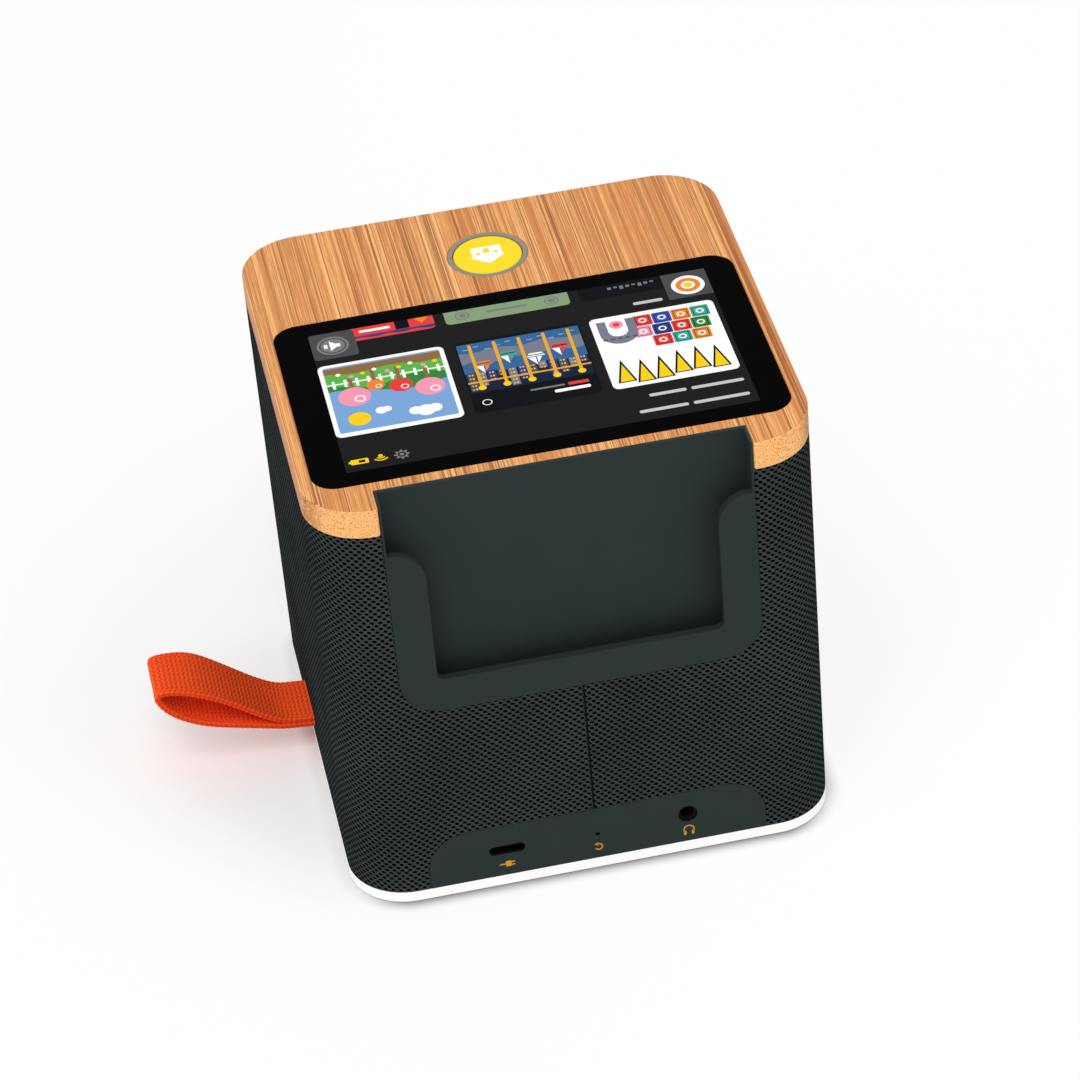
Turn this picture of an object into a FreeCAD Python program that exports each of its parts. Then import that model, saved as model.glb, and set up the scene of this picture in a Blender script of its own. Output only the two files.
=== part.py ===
"""Audio story player: a fabric-covered cube with a bamboo top, touch display and card pocket.

Frame: millimetres, +Z up, origin at the middle of the foot pad's underside.
The user's side is -Y, the card pocket and the sockets are on +Y, the hand loop is on +X.
"""
import FreeCAD, Part
import os
from math import acos, cos, pi, radians, sin, sqrt, tan

Vector = FreeCAD.Vector

# Overall body
WIDTH = 120.0            # X
DEPTH = 120.5            # Y
HEIGHT = 118.0           # foot pad to bamboo top
CORNER_R = 15.0          # upright corners
CONTACT_GAP = 0.05       # clearance of a part laid into its recess
SLIDE_GAP = 0.15         # clearance of a moulded part that is pushed in

# Shells
FABRIC_T = 1.0
WALL_T = 2.2
TOP_T = 7.6
TOP_EDGE_R = 0.4
BASE_T = 3.0
BASE_EDGE_R = 0.4
PAD_SIZE = 92.0
PAD_T = 1.2
PAD_PROUD = 0.2
PAD_R = 10.0

# Display
GLASS_EDGE = 3.25        # bamboo between the glass and the sides or the notch
FRONT_STRIP = 40.25      # front face to the glass
GLASS_T = 1.1
GLASS_R = 6.0
GLASS_EDGE_R = 0.25
TAPE_T = 0.3
PANEL_SIDE = 5.75        # glass beyond the panel, in X
PANEL_END = 4.0          # glass beyond the panel, in Y
PANEL_T = 3.2
PANEL_R = 1.0
PANEL_GAP = 0.5          # panel to window, each side
FRAME_RIM = 4.0          # width of the raised rim under the panel
FRAME_FLANGE_T = 1.5
FRAME_FLANGE_X = 4.7     # flange beyond the window, in X
FRAME_FLANGE_Y = 1.5     # flange beyond the window, in Y
FRAME_FLANGE_R = 14.0
FRAME_SCREW_Y = 15.0     # from the glass's centre

# Round button
BUTTON_FRONT = 23.05     # front face to the button's middle
RING_R = 10.0
RING_BORE_R = 8.7
RING_COLLAR_R = 12.5
RING_COLLAR_BORE_R = 9.9
RING_COLLAR_H = 4.8
RING_FLANGE_R = 17.0
RING_FLANGE_T = 1.5
RING_EDGE_R = 0.25
RING_SCREW_R = 14.9      # radius of the circle of screws
CAP_R = 8.55
CAP_SINK = 0.2           # cap's top below the bamboo's top
CAP_TOP_T = 2.4
CAP_SKIRT_T = 1.2
CAP_FLANGE_R = 9.6
CAP_FLANGE_T = 0.9
CAP_STOP_GAP = 0.05
CAP_POST_R = 2.0
STOP_DEPTH = 0.1         # underside of the bamboo to the bezel's stop
CAP_EDGE_R = 0.35
BUTTON_TRAVEL = 0.7
DOME_H = 1.6
DOME_SKIN = 0.5
DOME_SHOULDER_H = 0.64
DOME_FOOT_W = 3.0
DOME_PAD_BORDER = 0.8
BUTTON_BOARD_T = 1.2

# Card holder in the rear face
POCKET_SIDE = 16.3       # body's side to the holder; leaves room for an 85.6 mm card
POCKET_DEPTH = 7.6       # rear face to the back of the tray
POCKET_H = 61.0          # bamboo's top to the holder's lower edge
POCKET_CORNER_R = 10.0
TRAY_BACK_T = 1.0
TRAY_SIDE_T = 0.65
TRAY_FLOOR_T = 5.4       # holder's lower edge to the card's rest
TRAY_FLOOR_R = 3.0       # the slot's lower corners, a little under the card's own
LIP_T = 2.2
LIP_W = 9.2              # width of a side lip, from the holder's outside
LIP_INNER_R = 2.0
LIP_DROP = 14.1          # bamboo's top to the upper end of the side lips
LIP_TOP_R = 8.0
LIP_BOTTOM_H = 9.1       # bottom lip's height above the holder's lower edge
HOLDER_PAD_T = 2.4       # thicker wall round the holder's opening
HOLDER_PAD_BORDER = 7.0
HOLDER_FLANGE_T = 1.5
HOLDER_FLANGE_BORDER = 5.5
HOLDER_SCREW_BORDER = 3.3
HOLDER_SCREW_LOW = 12.0  # lower screws above the holder's lower edge
HOLDER_SCREW_HIGH = 8.0  # upper screws below the side lips' upper end
READER_BOARD_T = 1.2
READER_STANDOFF = 1.6
READER_X = 70.0
READER_Z = 36.0
READER_DROP = 34.0       # bamboo's top to the board's middle
READER_INSET = 4.0       # screws from the board's edges
READER_POST_R = 2.0

# Port plate and sockets
PLATE_SIDE = 18.2        # body's side to the port plate
PLATE_TOP_Z = 18.6
PLATE_R = 10.0
PLATE_EDGE_R = 0.3
PLATE_STEP = 4.0         # the thick middle is this much smaller
USB_X = 22.4
USB_W = 8.94
USB_H = 3.16
USB_SHELL_T = 0.3
USB_LENGTH = 7.4
USB_SLOT_W = 8.9
USB_SLOT_H = 2.7
USB_TONGUE_T = 0.7
USB_TONGUE_W = 6.7
USB_TONGUE_SINK = 0.8    # tongue's end behind the shell's mouth
USB_PLUG_T = 1.5         # thickness of the shell's closed end
JACK_X = -22.5
JACK_BORE_R = 1.8
JACK_BARREL_R = 2.8
JACK_WINDOW_R = 2.4
JACK_W = 6.4
JACK_H = 4.2
JACK_LENGTH = 12.0
JACK_END_T = 1.0
PINHOLE_R = 0.55
SWITCH_W = 4.5
SWITCH_H = 2.2
SWITCH_LENGTH = 3.0
PLUNGER_R = 0.9
PLUNGER_LENGTH = 1.5
PLUNGER_TRAVEL = 0.25
PLUNGER_RUN = 0.06       # radial running clearance
PLUNGER_GUIDE = 1.2      # depth of the hole in the switch
PLUNGER_END_GAP = 0.1    # left at the bottom of the hole when pressed
PLUNGER_SINK = 0.3       # tip behind the port plate's skin
SOCKET_FACE = 1.0        # skin of the port plate in front of the sockets

# Main board
BOARD_SIDE_GAP = 16.8    # housing's side wall to the board
BOARD_FRONT_GAP = 2.55   # battery's bracket to the board
BOARD_T = 1.6
BOARD_Z = 7.9            # underside
BOARD_REAR_GAP = 0.5
BOARD_POST_INSET = 4.0
BOARD_POST_R = 3.0
SHIELD_SIZE = 24.0
SHIELD_H = 2.6
SHIELD_SHIFT = (8.0, -4.0)   # shield's middle from the board's middle
PLUG_X = 7.0
PLUG_Y = 5.0
PLUG_H = 3.0
FLEX_PLUG_H = 1.6
FLEX_PLUG_BORDER = 1.5
PLUG_R = 0.4
SHIELD_R = 1.0
BOARD_CORNER_R = 2.0
CHIP_X = 28.0
CHIP_SIZE = 4.0
CHIP_H = 1.2
CHIP_ROWS = 5
CAPACITOR_X = -20.0
CAPACITOR_R = 3.2
CAPACITOR_H = 6.0

# Loudspeaker, facing -Y
SPEAKER_Z = 62.0
SPEAKER_R = 26.0
SPEAKER_SEAT_T = 1.5
SPEAKER_SEAT_BORDER = 1.0
SPEAKER_SCREW_R = 24.2
GASKET_T = 1.5
GASKET_INNER_R = 21.9
BASKET_FLANGE_T = 1.5
BASKET_DEPTH = 15.0
BASKET_THROAT_R = 16.0
BASKET_WALL = 1.0
BASKET_STEP = 0.4        # basket's cone starts this far behind its flange
VENTS = 4
VENT_W = 14.0
VENT_BORDER = 3.0
CONE_R = 18.4
CONE_T = 0.5
CONE_DEPTH = 8.0
CONE_TRAVEL = 1.0
SURROUND_T = 0.5
CONE_SINK = 0.6          # cone's edge behind the flange
SURROUND_W = 2.6
ROLL_DEPTH = 1.4         # depth of the surround's roll behind the cone's edge
CAP_BORDER = 2.0         # dust cap beyond the coil
CAP_H = 2.6
SPIDER_T = 0.5
SPIDER_FOLDS = 4
SPIDER_WAVE = 0.8
SPIDER_LIFT = 1.5        # spider above the basket's floor
SPIDER_FOOT_W = 2.0
COIL_R = 6.6
COIL_T = 0.35
COIL_WINDING_T = 0.35
COIL_LENGTH = 11.0
COIL_OVERLAP = 1.0       # coil's end in front of the cone's neck
COIL_WINDING_L = 4.0
COIL_AIR_GAP = 0.25
MAGNET_R = 17.5
MAGNET_T = 8.0
MAGNET_BORE_R = 9.5
POLE_PLATE_R = 16.0
POLE_PLATE_T = 3.0
GRILLE_R = 21.0
GRILLE_SLOT = 3.0
GRILLE_PITCH = 5.0

# Battery
BATTERY_X = 70.0
BATTERY_Y = 37.0
BATTERY_Z = 19.0
BRACKET_T = 1.2
BRACKET_X = 16.0
BRACKET_FOOT = 6.4
BRACKET_BOSS_R = 2.6
BRACKET_SCREW_OFFSET = 4.3  # screw to the battery's side
BRACKET_BOSS_H = 4.0

# Corner screws
CORNER_INSET = 9.5       # screw to the body's side and rear planes
POST_R = 5.0
POST_H = 20.0
LUG_R = 4.5
LUG_T = 3.0
RIM_H = 2.0
RIM_T = 1.6

# Hand loop of webbing
STRAP_Y = -12.0
STRAP_W = 16.0
STRAP_T = 1.6            # one ply
STRAP_Z = 9.5            # middle of the two plies where they leave the body
STRAP_TAIL = 15.0        # length of the clamped tail
STRAP_PIVOT = 0.8        # bending line, outside the fabric
STRAP_FLEX = 1.1         # half the length that bends
STRAP_SLOT_GAP = 0.3
LOOP_SPLIT = (7.5, 0.7)  # where the plies part: out from the side, up from STRAP_Z
LOOP_TIP = (38.0, 16.4)  # inside of the fold at the loop's end
LOOP_LOWER = ((12.7, 2.1), (17.7, 3.4), (22.6, 4.7), (27.5, 6.4), (32.3, 9.1), (36.0, 12.6))
LOOP_UPPER = ((33.8, 16.2), (29.0, 15.0), (24.2, 12.3), (19.5, 8.9), (14.9, 5.3), (11.0, 2.6))
CLAMP_T = 2.0
CLAMP_X = 10.0
CLAMP_EAR = 6.0
CLAMP_R = 1.5
CLAMP_BOSS_INSET = 0.5

# Screws: shank radius and grip in what they are driven into
HEAD_RATIO = 1.9         # head radius to shank radius
HEAD_H_RATIO = 1.1       # head height to shank radius
SCREW_SEAT_GAP = 0.2
WOOD_SCREW_R = 1.1
WOOD_SCREW_BITE = 4.0
TOP_SCREW_R = 1.5
TOP_SCREW_BITE = 5.0
BUTTON_SCREW_R = 0.7
BUTTON_SCREW_BITE = 3.0
HOLDER_SCREW_R = 1.0
READER_SCREW_R = 0.9
SPEAKER_SHANK_R = 1.0
SPEAKER_SCREW_END = 0.5  # left in front of a speaker screw's tip
BOARD_SCREW_R = 1.2
BOARD_SCREW_BITE = 4.0
BRACKET_SCREW_R = 1.2
CLAMP_SCREW_R = 1.2
BASE_SCREW_R = 1.5
BASE_SCREW_BITE = 10.0

# Leads
LEAD_R = 0.8
FLEX_W = 12.0
FLEX_T = 0.3
FLEX_BEND = 3.0
FLEX_READER_GAP = 9.85   # reader board to the ribbon
FLEX_RETURN = 12.0       # ribbon's run back to its plug
ANTENNA_Y = 34.0
ANTENNA_Z = 12.0
ANTENNA_T = 0.4
ANTENNA_LOW_Z = 70.0
ANTENNA_LEAD_R = 0.6
BUTTON_LEAD_X = -5.0
LEAD_ARCH = 5.0          # battery lead's rise above its plug

# Derived planes
BASE_Z = PAD_PROUD
SHELL_Z = BASE_Z + BASE_T
TOP_Z = HEIGHT - TOP_T
REAR_Y = DEPTH / 2
SIDE_X = WIDTH / 2
GLASS_X = WIDTH - 2 * GLASS_EDGE
GLASS_Y = DEPTH - POCKET_DEPTH - GLASS_EDGE - FRONT_STRIP
GLASS_CENTRE_Y = FRONT_STRIP - REAR_Y + GLASS_Y / 2
BUTTON_Y = BUTTON_FRONT - REAR_Y
POCKET_HALF_X = SIDE_X - POCKET_SIDE
POCKET_BOTTOM_Z = HEIGHT - POCKET_H
LIP_INNER_X = POCKET_HALF_X - LIP_W
LIP_TOP_Z = HEIGHT - LIP_DROP
PLATE_HALF_X = SIDE_X - PLATE_SIDE
SKIN_Y = REAR_Y - FABRIC_T
WALL_Y = SKIN_Y - WALL_T
WALL_X = SIDE_X - FABRIC_T - WALL_T
SHELL_R = CORNER_R - FABRIC_T
CAVITY_R = SHELL_R - WALL_T
CORNERS = [(sx * (SIDE_X - CORNER_INSET), sy * (REAR_Y - CORNER_INSET))
           for sx in (-1, 1) for sy in (-1, 1)]
NODES = {}


# ---------------------------------------------------------------- helpers
def block(x0, x1, y0, y1, z0, z1):
    """Box between two corners."""
    return Part.makeBox(x1 - x0, y1 - y0, z1 - z0, Vector(x0, y0, z0))


def edges_along(shape, axis):
    """Straight edges that run along one axis of the frame."""
    found = []
    for edge in shape.Edges:
        span = edge.BoundBox
        size = (span.XLength, span.YLength, span.ZLength)
        if all(size[i] < 1e-6 for i in range(3) if i != axis):
            found.append(edge)
    return found


def rounded(shape, radius, axis, keep=lambda centre: True):
    """Round the edges that run along an axis, where keep() accepts their middle."""
    chosen = [edge for edge in edges_along(shape, axis) if keep(edge.CenterOfMass)]
    return shape.makeFillet(radius, chosen)


def slab(size_x, size_y, radius, z0, z1, centre_y=0.0):
    """Upright block with rounded corners, centred on X = 0."""
    solid = block(-size_x / 2, size_x / 2, centre_y - size_y / 2, centre_y + size_y / 2, z0, z1)
    return rounded(solid, radius, 2)


def placed(shape, origin, direction):
    """Copy of a shape modelled along +Z, turned to a direction and moved to an origin."""
    copy = shape.copy()
    copy.Placement = FreeCAD.Placement(Vector(*origin), FreeCAD.Rotation(Vector(0, 0, 1), Vector(*direction)))
    return copy


def rod(radius, origin, direction, length):
    """Cylinder from an origin along a direction."""
    return Part.makeCylinder(radius, length, Vector(*origin), Vector(*direction))


def turned(outline, origin=(0, 0, 0), direction=(0, 0, 1)):
    """Solid of revolution of a closed (radius, height) outline."""
    points = [Vector(r, 0, h) for r, h in outline]
    face = Part.Face(Part.makePolygon(points + points[:1]))
    return placed(face.revolve(Vector(0, 0, 0), Vector(0, 0, 1), 360), origin, direction)


def ring(outer, inner, z0, z1):
    """Outline of a plain ring for turned()."""
    return [(inner, z0), (outer, z0), (outer, z1), (inner, z1)]


def screw(origin, direction, shank_r, length):
    """Pan-head screw with a cross recess; origin is under the head, direction points to the tip."""
    head_r = HEAD_RATIO * shank_r
    head_h = HEAD_H_RATIO * shank_r
    body = Part.makeCylinder(head_r, head_h, Vector(0, 0, -head_h))
    body = rim_rounded(body, -head_h, 0.35 * head_h)
    body = body.fuse(Part.makeCylinder(shank_r, length))
    slot = 0.28 * shank_r
    reach = 1.1 * shank_r
    deep = 0.6 * head_h
    cross = block(-reach, reach, -slot, slot, -head_h, -head_h + deep)
    cross = cross.fuse(block(-slot, slot, -reach, reach, -head_h, -head_h + deep))
    return placed(body.cut(cross).removeSplitter(), origin, direction)


def rim_rounded(shape, z, radius):
    """Round every edge that lies in the plane at height z."""
    chosen = [edge for edge in shape.Edges
              if abs(edge.BoundBox.ZMin - z) < 1e-6 and abs(edge.BoundBox.ZMax - z) < 1e-6]
    return shape.makeFillet(radius, chosen)


def path_parts(points, bends):
    """Straight runs and tangent arcs through points, with the given radius at each inner point."""
    points = [Vector(*point) for point in points]
    start = points[0]
    parts = []
    for before, corner, after, radius in zip(points, points[1:], points[2:], bends):
        come = (corner - before).normalize()
        go = (after - corner).normalize()
        half_turn = acos(max(-1.0, min(1.0, come.dot(go)))) / 2
        reach = radius * tan(half_turn)
        inward = (go - come).normalize()
        first = corner - come * reach
        last = corner + go * reach
        middle = corner + inward * (radius / cos(half_turn) - radius)
        parts.append(Part.LineSegment(start, first).toShape())
        parts.append(Part.Arc(first, middle, last).toShape())
        start = last
    parts.append(Part.LineSegment(start, points[-1]).toShape())
    return parts


def widest_bends(points):
    """Radius at each inner point, as large as 0.45 of the shorter run beside it allows."""
    points = [Vector(*point) for point in points]
    bends = []
    for before, corner, after in zip(points, points[1:], points[2:]):
        come = corner - before
        go = after - corner
        turn = come.getAngle(go)
        bends.append(0.45 * min(come.Length, go.Length) / tan(turn / 2))
    return bends


def lead(points, radius=LEAD_R):
    """Round cable along a route of points."""
    path = Part.Wire(path_parts(points, widest_bends(points)))
    start = Vector(*points[0])
    heading = Vector(*points[1]) - start
    section = Part.Wire(Part.makeCircle(radius, start, heading))
    tube = path.makePipeShell([section], True, False)
    wanted = pi * radius ** 2 * path.Length
    print("lead length %.1f mm, volume ratio %.4f" % (path.Length, tube.Volume / wanted))
    return tube


def strip(points, bend, thickness, x0, x1):
    """Flat strip whose middle follows (y, z) points, with every corner bent to one radius."""
    middle = [Vector(0, y, z) for y, z in points]
    ends = []
    for side in (0.5, -0.5):
        moved = []
        bends = []
        for i, point in enumerate(middle):
            before = (point - middle[i - 1]).normalize() if i else None
            after = (middle[i + 1] - point).normalize() if i < len(middle) - 1 else None
            come = before or after
            go = after or before
            normal = Vector(0, -(come.z + go.z), come.y + go.y).normalize()
            spread = cos(come.getAngle(go) / 2)
            moved.append(point + normal * (side * thickness / spread))
            if before and after:
                turn = come.y * go.z - come.z * go.y
                bends.append(bend - side * thickness * (1 if turn > 0 else -1))
        ends.append((moved, bends))
    (left, left_bends), (right, right_bends) = ends
    outline = path_parts([tuple(p) for p in left], left_bends)
    outline += path_parts([tuple(p) for p in right], right_bends)
    outline.append(Part.makeLine(left[0], right[0]))
    outline.append(Part.makeLine(left[-1], right[-1]))
    face = Part.Face(Part.Wire(Part.sortEdges(outline)[0]))
    face.translate(Vector(x0, 0, 0))
    return face.extrude(Vector(x1 - x0, 0, 0))


def group(solids):
    """Several separate solids in one node."""
    return Part.makeCompound(solids)


# ---------------------------------------------------------------- top
GLASS_UNDER_Z = HEIGHT - GLASS_T
LEDGE_Z = GLASS_UNDER_Z - TAPE_T
PANEL_X = GLASS_X - 2 * PANEL_SIDE
PANEL_Y = GLASS_Y - 2 * PANEL_END
PANEL_Z = GLASS_UNDER_Z - PANEL_T
WINDOW_X = PANEL_X + 2 * PANEL_GAP
WINDOW_Y = PANEL_Y + 2 * PANEL_GAP
FLANGE_Z = TOP_Z - FRAME_FLANGE_T
FRAME_SCREW_X = (WINDOW_X + FRAME_FLANGE_X) / 2
FRAME_SCREWS = [(sx * FRAME_SCREW_X, GLASS_CENTRE_Y + sy * FRAME_SCREW_Y)
                for sx in (-1, 1) for sy in (-1, 1)]
FRAME_SCREW_LENGTH = FRAME_FLANGE_T + WOOD_SCREW_BITE
RING_UNDER_Z = TOP_Z - RING_FLANGE_T
RING_SCREW_LENGTH = RING_FLANGE_T + WOOD_SCREW_BITE
RING_SCREWS = [(RING_SCREW_R * cos(radians(a)), BUTTON_Y + RING_SCREW_R * sin(radians(a)))
               for a in (30, 150, 270)]
TOP_SCREW_LENGTH = LUG_T + TOP_SCREW_BITE


def top_plate():
    """Bamboo plate with the glass recess, panel window, button hole and rear notch."""
    plate = slab(WIDTH, DEPTH, CORNER_R, TOP_Z, HEIGHT)
    notch = block(-POCKET_HALF_X, POCKET_HALF_X, REAR_Y - POCKET_DEPTH, REAR_Y, TOP_Z, HEIGHT)
    plate = plate.cut(notch)
    plate = rim_rounded(plate, HEIGHT, TOP_EDGE_R)
    recess = slab(GLASS_X + 2 * CONTACT_GAP, GLASS_Y + 2 * CONTACT_GAP, GLASS_R + CONTACT_GAP,
                  LEDGE_Z, HEIGHT, GLASS_CENTRE_Y)
    window = slab(WINDOW_X, WINDOW_Y, PANEL_R, TOP_Z, HEIGHT, GLASS_CENTRE_Y)
    hole = rod(RING_R + CONTACT_GAP, (0, BUTTON_Y, TOP_Z), (0, 0, 1), TOP_T)
    plate = plate.cut(recess).cut(window).cut(hole)
    pilots = [rod(WOOD_SCREW_R, (x, y, TOP_Z), (0, 0, 1), FRAME_SCREW_LENGTH - FRAME_FLANGE_T)
              for x, y in FRAME_SCREWS]
    pilots += [rod(WOOD_SCREW_R, (x, y, TOP_Z), (0, 0, 1), RING_SCREW_LENGTH - RING_FLANGE_T)
               for x, y in RING_SCREWS]
    pilots += [rod(TOP_SCREW_R, (x, y, TOP_Z), (0, 0, 1), TOP_SCREW_LENGTH - LUG_T)
               for x, y in CORNERS]
    return plate.cut(group(pilots))


def display_parts():
    """Glass, tape, panel and the frame that backs them."""
    glass = slab(GLASS_X, GLASS_Y, GLASS_R, GLASS_UNDER_Z, HEIGHT, GLASS_CENTRE_Y)
    NODES["touch_glass"] = rim_rounded(glass, HEIGHT, GLASS_EDGE_R)
    tape = slab(GLASS_X, GLASS_Y, GLASS_R, LEDGE_Z, GLASS_UNDER_Z, GLASS_CENTRE_Y)
    inside = slab(WINDOW_X, WINDOW_Y, PANEL_R, LEDGE_Z, GLASS_UNDER_Z, GLASS_CENTRE_Y)
    NODES["glass_tape"] = tape.cut(inside)
    NODES["lcd_panel"] = slab(PANEL_X, PANEL_Y, PANEL_R, PANEL_Z, GLASS_UNDER_Z, GLASS_CENTRE_Y)
    flange = slab(WINDOW_X + 2 * FRAME_FLANGE_X, WINDOW_Y + 2 * FRAME_FLANGE_Y, FRAME_FLANGE_R,
                  FLANGE_Z, TOP_Z, GLASS_CENTRE_Y)
    rim = slab(PANEL_X, PANEL_Y, PANEL_R, FLANGE_Z, PANEL_Z, GLASS_CENTRE_Y)
    hollow = slab(PANEL_X - 2 * FRAME_RIM, PANEL_Y - 2 * FRAME_RIM, PANEL_R,
                  FLANGE_Z, PANEL_Z, GLASS_CENTRE_Y)
    frame = flange.fuse(rim).cut(hollow).removeSplitter()
    holes = [rod(WOOD_SCREW_R, (x, y, FLANGE_Z), (0, 0, 1), FRAME_FLANGE_T) for x, y in FRAME_SCREWS]
    NODES["display_frame"] = frame.cut(group(holes))
    NODES["display_screws"] = group([screw((x, y, FLANGE_Z), (0, 0, 1), WOOD_SCREW_R, FRAME_SCREW_LENGTH)
                                     for x, y in FRAME_SCREWS])


COLLAR_Z = TOP_Z - RING_COLLAR_H
STOP_Z = TOP_Z - STOP_DEPTH
CAP_TOP_Z = HEIGHT - CAP_SINK
CAP_FLANGE_TOP_Z = STOP_Z - CAP_STOP_GAP
CAP_FLANGE_Z = CAP_FLANGE_TOP_Z - CAP_FLANGE_T
BUTTON_SCREW_OFFSET = (RING_COLLAR_R + RING_COLLAR_BORE_R) / 2
BUTTON_SCREW_LENGTH = BUTTON_BOARD_T + BUTTON_SCREW_BITE
DOME_TOP_Z = COLLAR_Z + DOME_H


def button_parts():
    """Bezel ring, cap, silicone dome and the small board under them."""
    centre = (0, BUTTON_Y, 0)
    bezel = turned([(RING_BORE_R, HEIGHT), (RING_R, HEIGHT), (RING_R, TOP_Z), (RING_FLANGE_R, TOP_Z),
                    (RING_FLANGE_R, RING_UNDER_Z), (RING_COLLAR_R, RING_UNDER_Z), (RING_COLLAR_R, COLLAR_Z),
                    (RING_COLLAR_BORE_R, COLLAR_Z), (RING_COLLAR_BORE_R, STOP_Z), (RING_BORE_R, STOP_Z)],
                   centre)
    bezel = rim_rounded(bezel, HEIGHT, RING_EDGE_R)
    bezel = bezel.cut(group([rod(WOOD_SCREW_R, (x, y, RING_UNDER_Z), (0, 0, 1), RING_FLANGE_T)
                             for x, y in RING_SCREWS]))
    places = [(side * BUTTON_SCREW_OFFSET, BUTTON_Y) for side in (-1, 1)]
    depth = BUTTON_SCREW_LENGTH - BUTTON_BOARD_T
    NODES["button_ring"] = bezel.cut(group([rod(BUTTON_SCREW_R, (x, y, COLLAR_Z), (0, 0, 1), depth)
                                            for x, y in places]))
    NODES["ring_screws"] = group([screw((x, y, RING_UNDER_Z), (0, 0, 1), WOOD_SCREW_R, RING_SCREW_LENGTH)
                                  for x, y in RING_SCREWS])

    under = CAP_TOP_Z - CAP_TOP_T
    skirt_r = CAP_R - CAP_SKIRT_T
    cap = turned([(0, CAP_TOP_Z), (CAP_R, CAP_TOP_Z), (CAP_R, CAP_FLANGE_TOP_Z),
                  (CAP_FLANGE_R, CAP_FLANGE_TOP_Z), (CAP_FLANGE_R, CAP_FLANGE_Z), (skirt_r, CAP_FLANGE_Z),
                  (skirt_r, under), (CAP_POST_R, under), (CAP_POST_R, DOME_TOP_Z + CAP_STOP_GAP),
                  (0, DOME_TOP_Z + CAP_STOP_GAP)], centre)
    NODES["button_cap"] = rim_rounded(cap, CAP_TOP_Z, CAP_EDGE_R)

    foot_r = RING_COLLAR_BORE_R - 2 * SLIDE_GAP
    shoulder = COLLAR_Z + DOME_SHOULDER_H
    pad_r = CAP_POST_R + DOME_PAD_BORDER
    bend_r = foot_r - DOME_FOOT_W
    NODES["button_dome"] = turned([
        (foot_r, COLLAR_Z), (foot_r, shoulder), (bend_r, shoulder), (pad_r, DOME_TOP_Z),
        (0, DOME_TOP_Z), (0, DOME_TOP_Z - DOME_SKIN), (pad_r - DOME_SKIN / 2, DOME_TOP_Z - DOME_SKIN),
        (bend_r - DOME_SKIN, shoulder - DOME_SKIN), (bend_r - DOME_SKIN, COLLAR_Z)], centre)

    board = rod(RING_COLLAR_R, (0, BUTTON_Y, COLLAR_Z - BUTTON_BOARD_T), (0, 0, 1), BUTTON_BOARD_T)
    NODES["button_board"] = board.cut(group([
        rod(BUTTON_SCREW_R, (x, y, COLLAR_Z - BUTTON_BOARD_T), (0, 0, 1), BUTTON_BOARD_T)
        for x, y in places]))
    NODES["button_screws"] = group([
        screw((x, y, COLLAR_Z - BUTTON_BOARD_T), (0, 0, 1), BUTTON_SCREW_R, BUTTON_SCREW_LENGTH)
        for x, y in places])


# ---------------------------------------------------------------- body
PAD_FACE_Y = WALL_Y - HOLDER_PAD_T
HOLDER_FLANGE_Y = PAD_FACE_Y - HOLDER_FLANGE_T
TRAY_Y = REAR_Y - POCKET_DEPTH
HOLDER_SCREW_LENGTH = HOLDER_FLANGE_T + HOLDER_PAD_T
HOLDER_SCREWS = [(sx * (POCKET_HALF_X + HOLDER_SCREW_BORDER), z)
                 for sx in (-1, 1)
                 for z in (POCKET_BOTTOM_Z + HOLDER_SCREW_LOW, LIP_TOP_Z - HOLDER_SCREW_HIGH)]
READER_CENTRE_Z = HEIGHT - READER_DROP
READER_SCREWS = [(sx * (READER_X / 2 - READER_INSET), READER_CENTRE_Z + sz * (READER_Z / 2 - READER_INSET))
                 for sx in (-1, 1) for sz in (-1, 1)]
READER_FACE_Y = TRAY_Y - READER_STANDOFF
READER_BACK_Y = READER_FACE_Y - READER_BOARD_T
PLATE_STEP_HALF_X = PLATE_HALF_X - PLATE_STEP
PLATE_STEP_TOP_Z = PLATE_TOP_Z - PLATE_STEP
SPEAKER_SEAT_Y = -(WALL_Y - SPEAKER_SEAT_T)
SPEAKER_SCREWS = [(SPEAKER_SCREW_R * cos(radians(a)), SPEAKER_Z + SPEAKER_SCREW_R * sin(radians(a)))
                  for a in (45, 135, 225, 315)]
SPEAKER_SCREW_BITE = SPEAKER_SEAT_T + WALL_T - SPEAKER_SCREW_END
SLOT_Z0 = STRAP_Z - STRAP_T - STRAP_SLOT_GAP
SLOT_Z1 = STRAP_Z + STRAP_T + STRAP_SLOT_GAP
SLOT_Y0 = STRAP_Y - STRAP_W / 2 - STRAP_SLOT_GAP
SLOT_Y1 = STRAP_Y + STRAP_W / 2 + STRAP_SLOT_GAP


def holder_outline(y0, y1, border=0.0, top=TOP_Z):
    """Block in the shape of the card holder's outside, between two Y planes."""
    solid = block(-POCKET_HALF_X - border, POCKET_HALF_X + border, y0, y1,
                  POCKET_BOTTOM_Z - border, top)
    return rounded(solid, POCKET_CORNER_R, 1, lambda centre: centre.z < POCKET_BOTTOM_Z + 1)


def plate_outline(y0, y1, inset=0.0):
    """Block in the shape of the port plate's outside, between two Y planes."""
    solid = block(-PLATE_HALF_X + inset, PLATE_HALF_X - inset, y0, y1, SHELL_Z, PLATE_TOP_Z - inset)
    return rounded(solid, PLATE_R, 1, lambda centre: centre.z > SHELL_Z + 1)


def strap_slot(x0, x1):
    """Space for the webbing to pass through the side of the body."""
    return block(x0, x1, SLOT_Y0, SLOT_Y1, SLOT_Z0, SLOT_Z1)


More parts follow.
